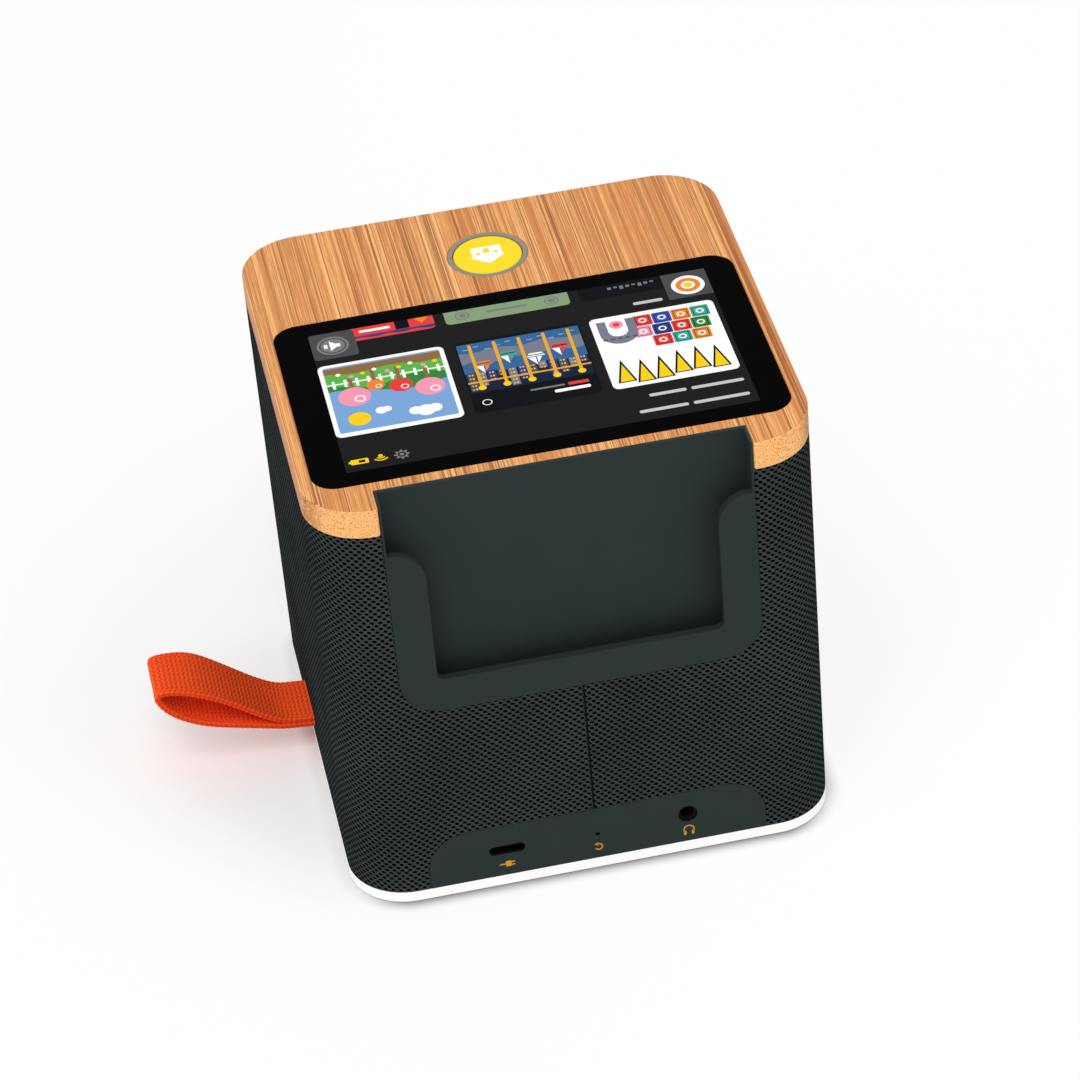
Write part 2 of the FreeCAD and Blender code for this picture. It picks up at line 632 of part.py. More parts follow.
def housing():
    """Moulded shell that carries the speaker, the holder, the top and the base."""
    outer = slab(WIDTH - 2 * FABRIC_T, DEPTH - 2 * FABRIC_T, SHELL_R, SHELL_Z, TOP_Z)
    cavity = slab(2 * WALL_X, 2 * WALL_Y, CAVITY_R, SHELL_Z, TOP_Z)
    shell = outer.cut(cavity)
    frame = holder_outline(PAD_FACE_Y, WALL_Y, HOLDER_PAD_BORDER)
    seat = rod(SPEAKER_R + SPEAKER_SEAT_BORDER, (0, -WALL_Y, SPEAKER_Z), (0, 1, 0), SPEAKER_SEAT_T)
    posts = [rod(POST_R, (x, y, SHELL_Z), (0, 0, 1), POST_H) for x, y in CORNERS]
    lugs = [rod(LUG_R, (x, y, TOP_Z - LUG_T), (0, 0, 1), LUG_T) for x, y in CORNERS]
    shell = shell.fuse([frame, seat] + posts + lugs).common(outer).removeSplitter()
    shell = shell.cut(holder_outline(PAD_FACE_Y, SKIN_Y))
    shell = shell.cut(plate_outline(WALL_Y, SKIN_Y, PLATE_STEP))
    shell = shell.cut(strap_slot(WALL_X, SIDE_X))
    shell = shell.cut(group(grille_slots()))
    bores = [rod(BASE_SCREW_R, (x, y, SHELL_Z), (0, 0, 1), BASE_SCREW_BITE) for x, y in CORNERS]
    bores += [rod(TOP_SCREW_R, (x, y, TOP_Z - LUG_T), (0, 0, 1), LUG_T) for x, y in CORNERS]
    bores += [rod(HOLDER_SCREW_R, (x, PAD_FACE_Y, z), (0, 1, 0), HOLDER_SCREW_LENGTH - HOLDER_FLANGE_T)
              for x, z in HOLDER_SCREWS]
    bores += [rod(SPEAKER_SHANK_R, (x, SPEAKER_SEAT_Y, z), (0, -1, 0), SPEAKER_SCREW_BITE)
              for x, z in SPEAKER_SCREWS]
    return shell.cut(group(bores))


def grille_slots():
    """Upright slots that fill the speaker's round opening."""
    slots = []
    count = int(GRILLE_R / GRILLE_PITCH)
    for i in range(-count, count + 1):
        x = i * GRILLE_PITCH
        half = sqrt(GRILLE_R ** 2 - x ** 2)
        slots.append(block(x - GRILLE_SLOT / 2, x + GRILLE_SLOT / 2, -SKIN_Y, SPEAKER_SEAT_Y,
                           SPEAKER_Z - half, SPEAKER_Z + half))
    return slots


def fabric_sleeve():
    """Knitted cover round the housing, cut out for the holder, the port plate and the strap."""
    sleeve = slab(WIDTH, DEPTH, CORNER_R, SHELL_Z, TOP_Z)
    sleeve = sleeve.cut(slab(WIDTH - 2 * FABRIC_T, DEPTH - 2 * FABRIC_T, SHELL_R, SHELL_Z, TOP_Z))
    sleeve = sleeve.cut(holder_outline(SKIN_Y - 1, REAR_Y))
    sleeve = sleeve.cut(plate_outline(SKIN_Y - 1, REAR_Y))
    return sleeve.cut(strap_slot(WALL_X, SIDE_X))


def card_holder():
    """Open-topped pocket: back, sides and floor, with a lip round the front."""
    shell = holder_outline(TRAY_Y, REAR_Y, 0.0, HEIGHT)
    space = block(-POCKET_HALF_X + TRAY_SIDE_T, POCKET_HALF_X - TRAY_SIDE_T,
                  TRAY_Y + TRAY_BACK_T, REAR_Y - LIP_T, POCKET_BOTTOM_Z + TRAY_FLOOR_T, HEIGHT)
    space = rounded(space, TRAY_FLOOR_R, 1, lambda centre: centre.z < LIP_TOP_Z)
    upper = block(-POCKET_HALF_X + TRAY_SIDE_T, POCKET_HALF_X - TRAY_SIDE_T,
                  REAR_Y - LIP_T, REAR_Y, LIP_TOP_Z, HEIGHT)
    gap = block(-LIP_INNER_X, LIP_INNER_X, REAR_Y - LIP_T, REAR_Y,
                POCKET_BOTTOM_Z + LIP_BOTTOM_H, HEIGHT)
    gap = rounded(gap, LIP_INNER_R, 1, lambda centre: centre.z < LIP_TOP_Z)
    opening = upper.fuse(gap).removeSplitter()
    corner = Vector(LIP_INNER_X, 0, LIP_TOP_Z)
    opening = rounded(opening, LIP_TOP_R, 1,
                      lambda centre: (Vector(abs(centre.x), 0, centre.z) - corner).Length < 1e-3)
    holder = shell.cut(space).cut(opening)
    flange = holder_outline(HOLDER_FLANGE_Y, PAD_FACE_Y, HOLDER_FLANGE_BORDER)
    flange = flange.cut(holder_outline(HOLDER_FLANGE_Y, PAD_FACE_Y, -TRAY_SIDE_T))
    flange = flange.cut(block(-WALL_X, WALL_X, HOLDER_FLANGE_Y, PAD_FACE_Y, LIP_TOP_Z, HEIGHT))
    flange = flange.common(slab(2 * (WALL_X - SLIDE_GAP), 2 * (WALL_Y - SLIDE_GAP), CAVITY_R, SHELL_Z, TOP_Z))
    standoffs = [rod(READER_POST_R, (x, READER_FACE_Y, z), (0, 1, 0), READER_STANDOFF)
                 for x, z in READER_SCREWS]
    holder = holder.fuse([flange] + standoffs).removeSplitter()
    bores = [rod(HOLDER_SCREW_R, (x, HOLDER_FLANGE_Y, z), (0, 1, 0), HOLDER_FLANGE_T)
             for x, z in HOLDER_SCREWS]
    bores += [rod(READER_SCREW_R, (x, READER_FACE_Y, z), (0, 1, 0), READER_STANDOFF)
              for x, z in READER_SCREWS]
    return holder.cut(group(bores))


def reader_parts():
    """Board with a loop antenna that reads the card through the tray, and its screws."""
    board = block(-READER_X / 2, READER_X / 2, READER_BACK_Y, READER_FACE_Y,
                  READER_CENTRE_Z - READER_Z / 2, READER_CENTRE_Z + READER_Z / 2)
    board = rounded(board, BOARD_CORNER_R, 1)
    holes = [rod(READER_SCREW_R, (x, READER_BACK_Y, z), (0, 1, 0), READER_BOARD_T) for x, z in READER_SCREWS]
    NODES["reader_board"] = board.cut(group(holes))
    NODES["reader_screws"] = group([
        screw((x, READER_BACK_Y, z), (0, 1, 0), READER_SCREW_R, READER_BOARD_T + READER_STANDOFF - CONTACT_GAP)
        for x, z in READER_SCREWS])
    NODES["holder_screws"] = group([screw((x, HOLDER_FLANGE_Y, z), (0, 1, 0), HOLDER_SCREW_R,
                                          HOLDER_SCREW_LENGTH) for x, z in HOLDER_SCREWS])


# ---------------------------------------------------------------- sockets
BOARD_TOP_Z = BOARD_Z + BOARD_T
SOCKET_Y = REAR_Y - SOCKET_FACE
USB_Z = BOARD_TOP_Z + USB_H / 2
JACK_Z = BOARD_TOP_Z + JACK_H / 2
SWITCH_Z = BOARD_TOP_Z + SWITCH_H / 2
PLUNGER_TIP_Y = SOCKET_Y - PLUNGER_SINK
SWITCH_Y = PLUNGER_TIP_Y - PLUNGER_LENGTH


def stadium(centre_x, centre_z, width, height, y0, y1):
    """Block along Y with fully rounded ends."""
    solid = block(centre_x - width / 2, centre_x + width / 2, y0, y1,
                  centre_z - height / 2, centre_z + height / 2)
    return rounded(solid, 0.499 * height, 1)


def port_plate():
    """Flush plate over the sockets: a thin face and a thick middle that fills the shell's opening."""
    plate = plate_outline(SKIN_Y, REAR_Y).fuse(plate_outline(WALL_Y, SKIN_Y, PLATE_STEP)).removeSplitter()
    plate = rounded_face(plate, REAR_Y, PLATE_EDGE_R)
    plate = plate.cut(stadium(USB_X, USB_Z, USB_SLOT_W, USB_SLOT_H, SOCKET_Y, REAR_Y))
    plate = plate.cut(stadium(USB_X, USB_Z, USB_W + 2 * SLIDE_GAP, USB_H + 2 * SLIDE_GAP, WALL_Y, SOCKET_Y))
    plate = plate.cut(rod(JACK_WINDOW_R, (JACK_X, SOCKET_Y, JACK_Z), (0, 1, 0), SOCKET_FACE))
    plate = plate.cut(rod(JACK_BARREL_R + SLIDE_GAP, (JACK_X, WALL_Y, JACK_Z), (0, 1, 0), SOCKET_Y - WALL_Y))
    plate = plate.cut(rod(PINHOLE_R, (0, SOCKET_Y, SWITCH_Z), (0, 1, 0), SOCKET_FACE))
    return plate.cut(block(-SWITCH_W / 2 - SLIDE_GAP, SWITCH_W / 2 + SLIDE_GAP, WALL_Y, SOCKET_Y,
                           BOARD_TOP_Z - SLIDE_GAP, BOARD_TOP_Z + SWITCH_H + SLIDE_GAP))


def rounded_face(shape, y, radius):
    """Round the edges that lie in the plane at y and above the base cover."""
    chosen = []
    for edge in shape.Edges:
        span = edge.BoundBox
        if abs(span.YMin - y) < 1e-6 and abs(span.YMax - y) < 1e-6 and span.ZMax > SHELL_Z + 0.01:
            chosen.append(edge)
    return shape.makeFillet(radius, chosen)


def socket_parts():
    """USB socket, headphone socket and the switch behind the pinhole."""
    back = SOCKET_Y - USB_LENGTH
    inner_w = USB_W - 2 * USB_SHELL_T
    inner_h = USB_H - 2 * USB_SHELL_T
    shell = stadium(USB_X, USB_Z, USB_W, USB_H, back, SOCKET_Y)
    NODES["usb_shell"] = shell.cut(stadium(USB_X, USB_Z, inner_w, inner_h, back, SOCKET_Y))
    plug = stadium(USB_X, USB_Z, inner_w, inner_h, back, back + USB_PLUG_T)
    tongue = block(USB_X - USB_TONGUE_W / 2, USB_X + USB_TONGUE_W / 2, back, SOCKET_Y - USB_TONGUE_SINK,
                   USB_Z - USB_TONGUE_T / 2, USB_Z + USB_TONGUE_T / 2)
    NODES["usb_tongue"] = plug.fuse(tongue).removeSplitter()

    jack_back = SOCKET_Y - JACK_LENGTH
    body = block(JACK_X - JACK_W / 2, JACK_X + JACK_W / 2, jack_back, WALL_Y,
                 BOARD_TOP_Z, BOARD_TOP_Z + JACK_H)
    barrel = rod(JACK_BARREL_R, (JACK_X, WALL_Y, JACK_Z), (0, 1, 0), SOCKET_Y - WALL_Y)
    flat = block(JACK_X - JACK_W, JACK_X + JACK_W, jack_back, SOCKET_Y, BOARD_Z, BOARD_TOP_Z)
    bore = rod(JACK_BORE_R, (JACK_X, jack_back + JACK_END_T, JACK_Z), (0, 1, 0), JACK_LENGTH)
    NODES["headphone_socket"] = body.fuse(barrel.cut(flat)).removeSplitter().cut(bore)

    switch = block(-SWITCH_W / 2, SWITCH_W / 2, SWITCH_Y - SWITCH_LENGTH, SWITCH_Y,
                   BOARD_TOP_Z, BOARD_TOP_Z + SWITCH_H)
    guide = rod(PLUNGER_R + PLUNGER_RUN, (0, SWITCH_Y - PLUNGER_GUIDE, SWITCH_Z), (0, 1, 0), PLUNGER_GUIDE)
    NODES["set_switch"] = switch.cut(guide)
    inside = PLUNGER_GUIDE - PLUNGER_TRAVEL - PLUNGER_END_GAP
    NODES["set_plunger"] = rod(PLUNGER_R, (0, SWITCH_Y - inside, SWITCH_Z), (0, 1, 0), PLUNGER_LENGTH + inside)


# ---------------------------------------------------------------- electronics
BATTERY_CENTRE_Y = CONTACT_GAP - WALL_Y + BRACKET_FOOT + BRACKET_T / 2 + BATTERY_Y / 2
BATTERY_FRONT_Y = BATTERY_CENTRE_Y - BATTERY_Y / 2
BATTERY_REAR_Y = BATTERY_CENTRE_Y + BATTERY_Y / 2
BATTERY_TOP_Z = SHELL_Z + BATTERY_Z
BOARD_X = 2 * (WALL_X - BOARD_SIDE_GAP)
BOARD_FRONT_Y = BATTERY_REAR_Y + BRACKET_T / 2 + BRACKET_FOOT + BOARD_FRONT_GAP
BOARD_REAR_Y = WALL_Y - BOARD_REAR_GAP
BOARD_CENTRE_Y = (BOARD_REAR_Y + BOARD_FRONT_Y) / 2
BOARD_SCREWS = [(sx * (BOARD_X / 2 - BOARD_POST_INSET), y) for sx in (-1, 1)
                for y in (BOARD_FRONT_Y + BOARD_POST_INSET, BOARD_REAR_Y - BOARD_POST_INSET)]
PLUG_SPOTS = {"speaker": (28.0, BOARD_FRONT_Y + 16.0), "battery": (-12.0, BOARD_FRONT_Y + 3.5),
              "button": (-26.0, BOARD_FRONT_Y + 16.0), "antenna": (PLUG_X - BOARD_X / 2, BOARD_CENTRE_Y)}
CHIP_START_Y = BOARD_FRONT_Y + 24.0
CHIP_PITCH = (BOARD_REAR_Y - 10.0 - CHIP_START_Y) / (CHIP_ROWS - 1)
FLEX_Y = READER_BACK_Y - FLEX_READER_GAP
FLEX_PLUG_Y = FLEX_Y - FLEX_RETURN
FLEX_PLUG_Z = BOARD_TOP_Z + SHIELD_H


def board_parts():
    """Main board, its shield, its other components and its screws."""
    board = block(-BOARD_X / 2, BOARD_X / 2, BOARD_FRONT_Y, BOARD_REAR_Y, BOARD_Z, BOARD_TOP_Z)
    board = rounded(board, BOARD_CORNER_R, 2)
    NODES["main_board"] = board.cut(group([rod(BOARD_SCREW_R, (x, y, BOARD_Z), (0, 0, 1), BOARD_T)
                                           for x, y in BOARD_SCREWS]))
    half = SHIELD_SIZE / 2
    x, y = SHIELD_SHIFT[0], BOARD_CENTRE_Y + SHIELD_SHIFT[1]
    NODES["shield_can"] = rounded(block(x - half, x + half, y - half, y + half,
                                        BOARD_TOP_Z, BOARD_TOP_Z + SHIELD_H), SHIELD_R, 2)
    plugs = [rounded(block(x - PLUG_X / 2, x + PLUG_X / 2, y - PLUG_Y / 2, y + PLUG_Y / 2,
                           BOARD_TOP_Z, BOARD_TOP_Z + PLUG_H), PLUG_R, 2)
             for x, y in PLUG_SPOTS.values()]
    plugs.append(block(-FLEX_W / 2 - FLEX_PLUG_BORDER, FLEX_W / 2 + FLEX_PLUG_BORDER,
                       FLEX_PLUG_Y + FLEX_PLUG_BORDER - PLUG_Y, FLEX_PLUG_Y + FLEX_PLUG_BORDER,
                       FLEX_PLUG_Z, FLEX_PLUG_Z + FLEX_PLUG_H))
    NODES["board_plugs"] = group(plugs)
    chips = []
    for row in range(CHIP_ROWS):
        y = CHIP_START_Y + CHIP_PITCH * row
        width = CHIP_SIZE * (1 + 0.25 * (row % 2))
        height = CHIP_H * (1 + 0.4 * (row % 3))
        chips.append(block(CHIP_X, CHIP_X + width, y, y + CHIP_SIZE, BOARD_TOP_Z, BOARD_TOP_Z + height))
    for side in (-1, 1):
        y = BOARD_CENTRE_Y + side * 1.25 * CAPACITOR_R
        chips.append(rod(CAPACITOR_R, (CAPACITOR_X, y, BOARD_TOP_Z), (0, 0, 1), CAPACITOR_H))
    NODES["board_chips"] = group(chips)
    NODES["board_screws"] = group([screw((x, y, BOARD_TOP_Z), (0, 0, -1), BOARD_SCREW_R,
                                         BOARD_T + BOARD_SCREW_BITE) for x, y in BOARD_SCREWS])


BRACKET_SCREWS = [(0, BATTERY_FRONT_Y - BRACKET_SCREW_OFFSET), (0, BATTERY_REAR_Y + BRACKET_SCREW_OFFSET)]
BRACKET_FOOT_Z = SHELL_Z + BRACKET_BOSS_H


def battery_parts():
    """Battery pack of two round cells in a sleeve, its bracket and the bracket's screws."""
    radius = 0.499 * BATTERY_Z
    pack = block(-BATTERY_X / 2, BATTERY_X / 2, BATTERY_FRONT_Y, BATTERY_REAR_Y, SHELL_Z, BATTERY_TOP_Z)
    NODES["battery_pack"] = rounded(pack, radius, 0)
    half = BRACKET_T / 2
    front = BATTERY_FRONT_Y - half
    rear = BATTERY_REAR_Y + half
    foot = BRACKET_FOOT_Z + half
    roof = BATTERY_TOP_Z + half
    route = [(front - BRACKET_FOOT, foot), (front, foot), (front, roof), (rear, roof), (rear, foot),
             (rear + BRACKET_FOOT, foot)]
    bracket = strip(route, BRACKET_T, BRACKET_T, -BRACKET_X / 2, BRACKET_X / 2)
    holes = [rod(BRACKET_SCREW_R, (x, y, BRACKET_FOOT_Z), (0, 0, 1), BRACKET_T) for x, y in BRACKET_SCREWS]
    NODES["battery_bracket"] = bracket.cut(group(holes))
    NODES["bracket_screws"] = group([screw((x, y, BRACKET_FOOT_Z + BRACKET_T), (0, 0, -1), BRACKET_SCREW_R,
                                           BRACKET_T + BRACKET_BOSS_H) for x, y in BRACKET_SCREWS])


# ---------------------------------------------------------------- loudspeaker
FLANGE_FRONT = SPEAKER_SEAT_T + GASKET_T           # distances behind the front wall's inner face
FLANGE_BACK = FLANGE_FRONT + BASKET_FLANGE_T
THROAT = FLANGE_FRONT + BASKET_DEPTH
POLE_R = COIL_R - COIL_T - COIL_AIR_GAP
GAP_R = COIL_R + COIL_WINDING_T + COIL_AIR_GAP
CONE_EDGE = FLANGE_FRONT + CONE_SINK
CONE_NECK = CONE_EDGE + CONE_DEPTH
BASKET_LIP_R = CONE_R + SURROUND_W


def speaker_solid(outline):
    """Solid of revolution about the speaker's axis; heights run inward from the front wall."""
    return turned(outline, (0, -WALL_Y, SPEAKER_Z), (0, 1, 0))


def spider_outline():
    """Corrugated disc from the coil to a foot on the basket's floor, as a closed (radius, height) outline."""
    floor = THROAT - BASKET_WALL
    foot_r = BASKET_THROAT_R - SPIDER_T
    inner_r = foot_r - SPIDER_FOOT_W
    front = []
    back = []
    for i in range(SPIDER_FOLDS + 1):
        radius = COIL_R + (inner_r - COIL_R) * i / SPIDER_FOLDS
        height = floor - SPIDER_LIFT - (SPIDER_WAVE if i % 2 else 0)
        front.append((radius, height - SPIDER_T))
        back.append((radius, height))
    foot = [(foot_r, floor - SPIDER_T), (foot_r, floor), (foot_r - SPIDER_T, floor)]
    return front + foot + back[::-1]


def speaker_parts():
    """Driver: gasket, basket, magnet, poles, cone, cap, coil, surround and spider."""
    screw_bores = [rod(SPEAKER_SHANK_R, (x, -WALL_Y, z), (0, 1, 0), FLANGE_BACK) for x, z in SPEAKER_SCREWS]
    gasket = speaker_solid(ring(SPEAKER_R, GASKET_INNER_R, SPEAKER_SEAT_T, FLANGE_FRONT))
    NODES["speaker_gasket"] = gasket.cut(group(screw_bores))

    slope_r = BASKET_THROAT_R + BASKET_WALL
    basket = speaker_solid([
        (BASKET_LIP_R, FLANGE_FRONT), (SPEAKER_R, FLANGE_FRONT), (SPEAKER_R, FLANGE_BACK),
        (BASKET_LIP_R + BASKET_WALL, FLANGE_BACK), (slope_r, THROAT), (GAP_R, THROAT),
        (GAP_R, THROAT - BASKET_WALL), (BASKET_THROAT_R, THROAT - BASKET_WALL),
        (BASKET_LIP_R, FLANGE_BACK + BASKET_STEP)])
    keep = rod(BASKET_THROAT_R - VENT_BORDER, (0, -WALL_Y, SPEAKER_Z), (0, 1, 0), THROAT)
    front = FLANGE_BACK + VENT_BORDER / 2
    back = THROAT - VENT_BORDER
    for turn in range(VENTS):
        window = block(-VENT_W / 2, VENT_W / 2, front - WALL_Y, back - WALL_Y, SPEAKER_Z, SPEAKER_Z + SPEAKER_R)
        window.rotate(Vector(0, 0, SPEAKER_Z), Vector(0, 1, 0), 360 / VENTS * turn)
        basket = basket.cut(window.cut(keep))
    NODES["speaker_basket"] = basket.cut(group(screw_bores))
    NODES["speaker_screws"] = group([
        screw((x, -WALL_Y + FLANGE_BACK, z), (0, -1, 0), SPEAKER_SHANK_R,
              FLANGE_BACK - SPEAKER_SEAT_T + SPEAKER_SCREW_BITE) for x, z in SPEAKER_SCREWS])

    magnet = THROAT + POLE_PLATE_T
    yoke = magnet + MAGNET_T
    NODES["front_pole"] = speaker_solid(ring(POLE_PLATE_R, GAP_R, THROAT, magnet))
    NODES["speaker_magnet"] = speaker_solid(ring(MAGNET_R, MAGNET_BORE_R, magnet, yoke))
    NODES["speaker_yoke"] = speaker_solid([(0, THROAT), (POLE_R, THROAT), (POLE_R, yoke), (POLE_PLATE_R, yoke),
                                           (POLE_PLATE_R, yoke + POLE_PLATE_T), (0, yoke + POLE_PLATE_T)])

    coil_front = CONE_NECK - COIL_OVERLAP
    NODES["speaker_cone"] = speaker_solid([
        (CONE_R, CONE_EDGE), (CONE_R, CONE_EDGE + CONE_T), (COIL_R + CONE_T, CONE_NECK),
        (COIL_R, CONE_NECK), (COIL_R, CONE_NECK - CONE_T)])
    cap_r = COIL_R + CAP_BORDER
    cap_y = CONE_NECK - CONE_T - CAP_BORDER * (CONE_DEPTH - CONE_T) / (CONE_R - COIL_R)
    shoulder_r = 0.6 * cap_r
    shoulder_y = cap_y - 0.75 * CAP_H
    NODES["dust_cap"] = speaker_solid([
        (cap_r, cap_y), (shoulder_r, shoulder_y), (0, cap_y - CAP_H), (0, cap_y - CAP_H + CONE_T),
        (shoulder_r, shoulder_y + CONE_T), (cap_r - CONE_T, cap_y)])
    coil_back = coil_front + COIL_LENGTH
    winding = coil_back - COIL_WINDING_L
    NODES["voice_coil"] = speaker_solid([
        (COIL_R - COIL_T, coil_front), (COIL_R, coil_front), (COIL_R, winding),
        (COIL_R + COIL_WINDING_T, winding), (COIL_R + COIL_WINDING_T, coil_back), (COIL_R - COIL_T, coil_back)])
    roll = (CONE_R + BASKET_LIP_R) / 2
    roll_y = CONE_EDGE + ROLL_DEPTH
    rim_r = BASKET_LIP_R + SURROUND_T / 2
    NODES["speaker_surround"] = speaker_solid([
        (CONE_R, CONE_EDGE), (CONE_R, CONE_EDGE - SURROUND_T), (CONE_R + SURROUND_T, CONE_EDGE - SURROUND_T),
        (roll, roll_y - SURROUND_T), (BASKET_LIP_R - SURROUND_T, FLANGE_FRONT - SURROUND_T),
        (rim_r, FLANGE_FRONT - SURROUND_T), (rim_r, FLANGE_FRONT), (BASKET_LIP_R, FLANGE_FRONT),
        (roll, roll_y), (CONE_R + SURROUND_T / 2, CONE_EDGE)])
    NODES["speaker_spider"] = speaker_solid(spider_outline())


# ---------------------------------------------------------------- base and hand loop
BASE_SCREW_HEAD_H = HEAD_H_RATIO * BASE_SCREW_R
BASE_SCREW_SEAT_Z = BASE_Z + BASE_SCREW_HEAD_H
TAIL_END_X = SIDE_X + STRAP_PIVOT - STRAP_FLEX
TAIL_START_X = TAIL_END_X - STRAP_TAIL
LOOP_START_X = SIDE_X + STRAP_PIVOT + STRAP_FLEX
CLAMP_X0 = TAIL_START_X + CLAMP_BOSS_INSET
CLAMP_Y0 = STRAP_Y - STRAP_W / 2 - CLAMP_EAR
CLAMP_Y1 = STRAP_Y + STRAP_W / 2 + CLAMP_EAR
STRAP_LOW_Z = STRAP_Z - STRAP_T
STRAP_HIGH_Z = STRAP_Z + STRAP_T
CLAMP_SCREWS = [(CLAMP_X0 + CLAMP_X / 2, y) for y in (CLAMP_Y0 + CLAMP_EAR / 2, CLAMP_Y1 - CLAMP_EAR / 2)]
CLAMP_SCREW_BITE = STRAP_LOW_Z - SHELL_Z


def base_cover():
    """White base with its inner rim, the bosses and the corner screws' seats."""
    cover = rim_rounded(slab(WIDTH, DEPTH, CORNER_R, BASE_Z, SHELL_Z), BASE_Z, BASE_EDGE_R)
    rim = slab(2 * (WALL_X - SLIDE_GAP), 2 * (WALL_Y - SLIDE_GAP), CAVITY_R - SLIDE_GAP, SHELL_Z,
               SHELL_Z + RIM_H)
    inner = slab(2 * (WALL_X - SLIDE_GAP - RIM_T), 2 * (WALL_Y - SLIDE_GAP - RIM_T),
                 CAVITY_R - SLIDE_GAP - RIM_T, SHELL_Z, SHELL_Z + RIM_H)
    rim = rim.cut(inner)
    rim = rim.cut(group([rod(POST_R + SLIDE_GAP, (x, y, SHELL_Z), (0, 0, 1), RIM_H) for x, y in CORNERS]))
    rim = rim.cut(block(-BOARD_X / 2, BOARD_X / 2, WALL_Y - 2 * RIM_T, WALL_Y, SHELL_Z, SHELL_Z + RIM_H))
    bosses = [rod(BOARD_POST_R, (x, y, SHELL_Z), (0, 0, 1), BOARD_Z - SHELL_Z) for x, y in BOARD_SCREWS]
    bosses += [rod(BRACKET_BOSS_R, (x, y, SHELL_Z), (0, 0, 1), BRACKET_BOSS_H) for x, y in BRACKET_SCREWS]
    bosses.append(block(CLAMP_X0, WALL_X - CLAMP_BOSS_INSET - RIM_T, CLAMP_Y0, CLAMP_Y1, SHELL_Z, STRAP_LOW_Z))
    cover = cover.fuse([rim] + bosses).removeSplitter()
    cover = cover.cut(slab(PAD_SIZE + 2 * CONTACT_GAP, PAD_SIZE + 2 * CONTACT_GAP, PAD_R, BASE_Z, PAD_T))
    seat_r = HEAD_RATIO * BASE_SCREW_R + SCREW_SEAT_GAP
    holes = []
    for x, y in CORNERS:
        holes.append(rod(BASE_SCREW_R, (x, y, BASE_Z), (0, 0, 1), BASE_T))
        holes.append(rod(seat_r, (x, y, BASE_Z), (0, 0, 1), BASE_SCREW_HEAD_H))
    holes += [rod(BOARD_SCREW_R, (x, y, BOARD_Z), (0, 0, -1), BOARD_SCREW_BITE) for x, y in BOARD_SCREWS]
    holes += [rod(BRACKET_SCREW_R, (x, y, BRACKET_FOOT_Z), (0, 0, -1), BRACKET_BOSS_H)
              for x, y in BRACKET_SCREWS]
    holes += [rod(CLAMP_SCREW_R, (x, y, STRAP_LOW_Z), (0, 0, -1), CLAMP_SCREW_BITE) for x, y in CLAMP_SCREWS]
    return cover.cut(group(holes))


def base_parts():
    """Foot pad and the screws of the base and the top."""
    NODES["foot_pad"] = slab(PAD_SIZE, PAD_SIZE, PAD_R, 0, PAD_T)
    NODES["base_screws"] = group([
        screw((x, y, BASE_SCREW_SEAT_Z), (0, 0, 1), BASE_SCREW_R, SHELL_Z - BASE_SCREW_SEAT_Z + BASE_SCREW_BITE)
        for x, y in CORNERS])
    NODES["top_screws"] = group([screw((x, y, TOP_Z - LUG_T), (0, 0, 1), TOP_SCREW_R, TOP_SCREW_LENGTH)
                                 for x, y in CORNERS])


def loop_side(points, outward):
    """Inner curve of one ply and the same curve moved outward by the ply's thickness."""
    inner = [Vector(SIDE_X + out, STRAP_Y - STRAP_W / 2, STRAP_Z + up) for out, up in points]
    curve = Part.BSplineCurve()
    curve.interpolate(inner)
    outer = []
    for point in inner:
        heading = curve.tangent(curve.parameter(point))[0]
        normal = Vector(-heading.z, 0, heading.x) * outward
        outer.append(point + normal * STRAP_T)
    moved = Part.BSplineCurve()
    moved.interpolate(outer)
    return curve, moved, outer


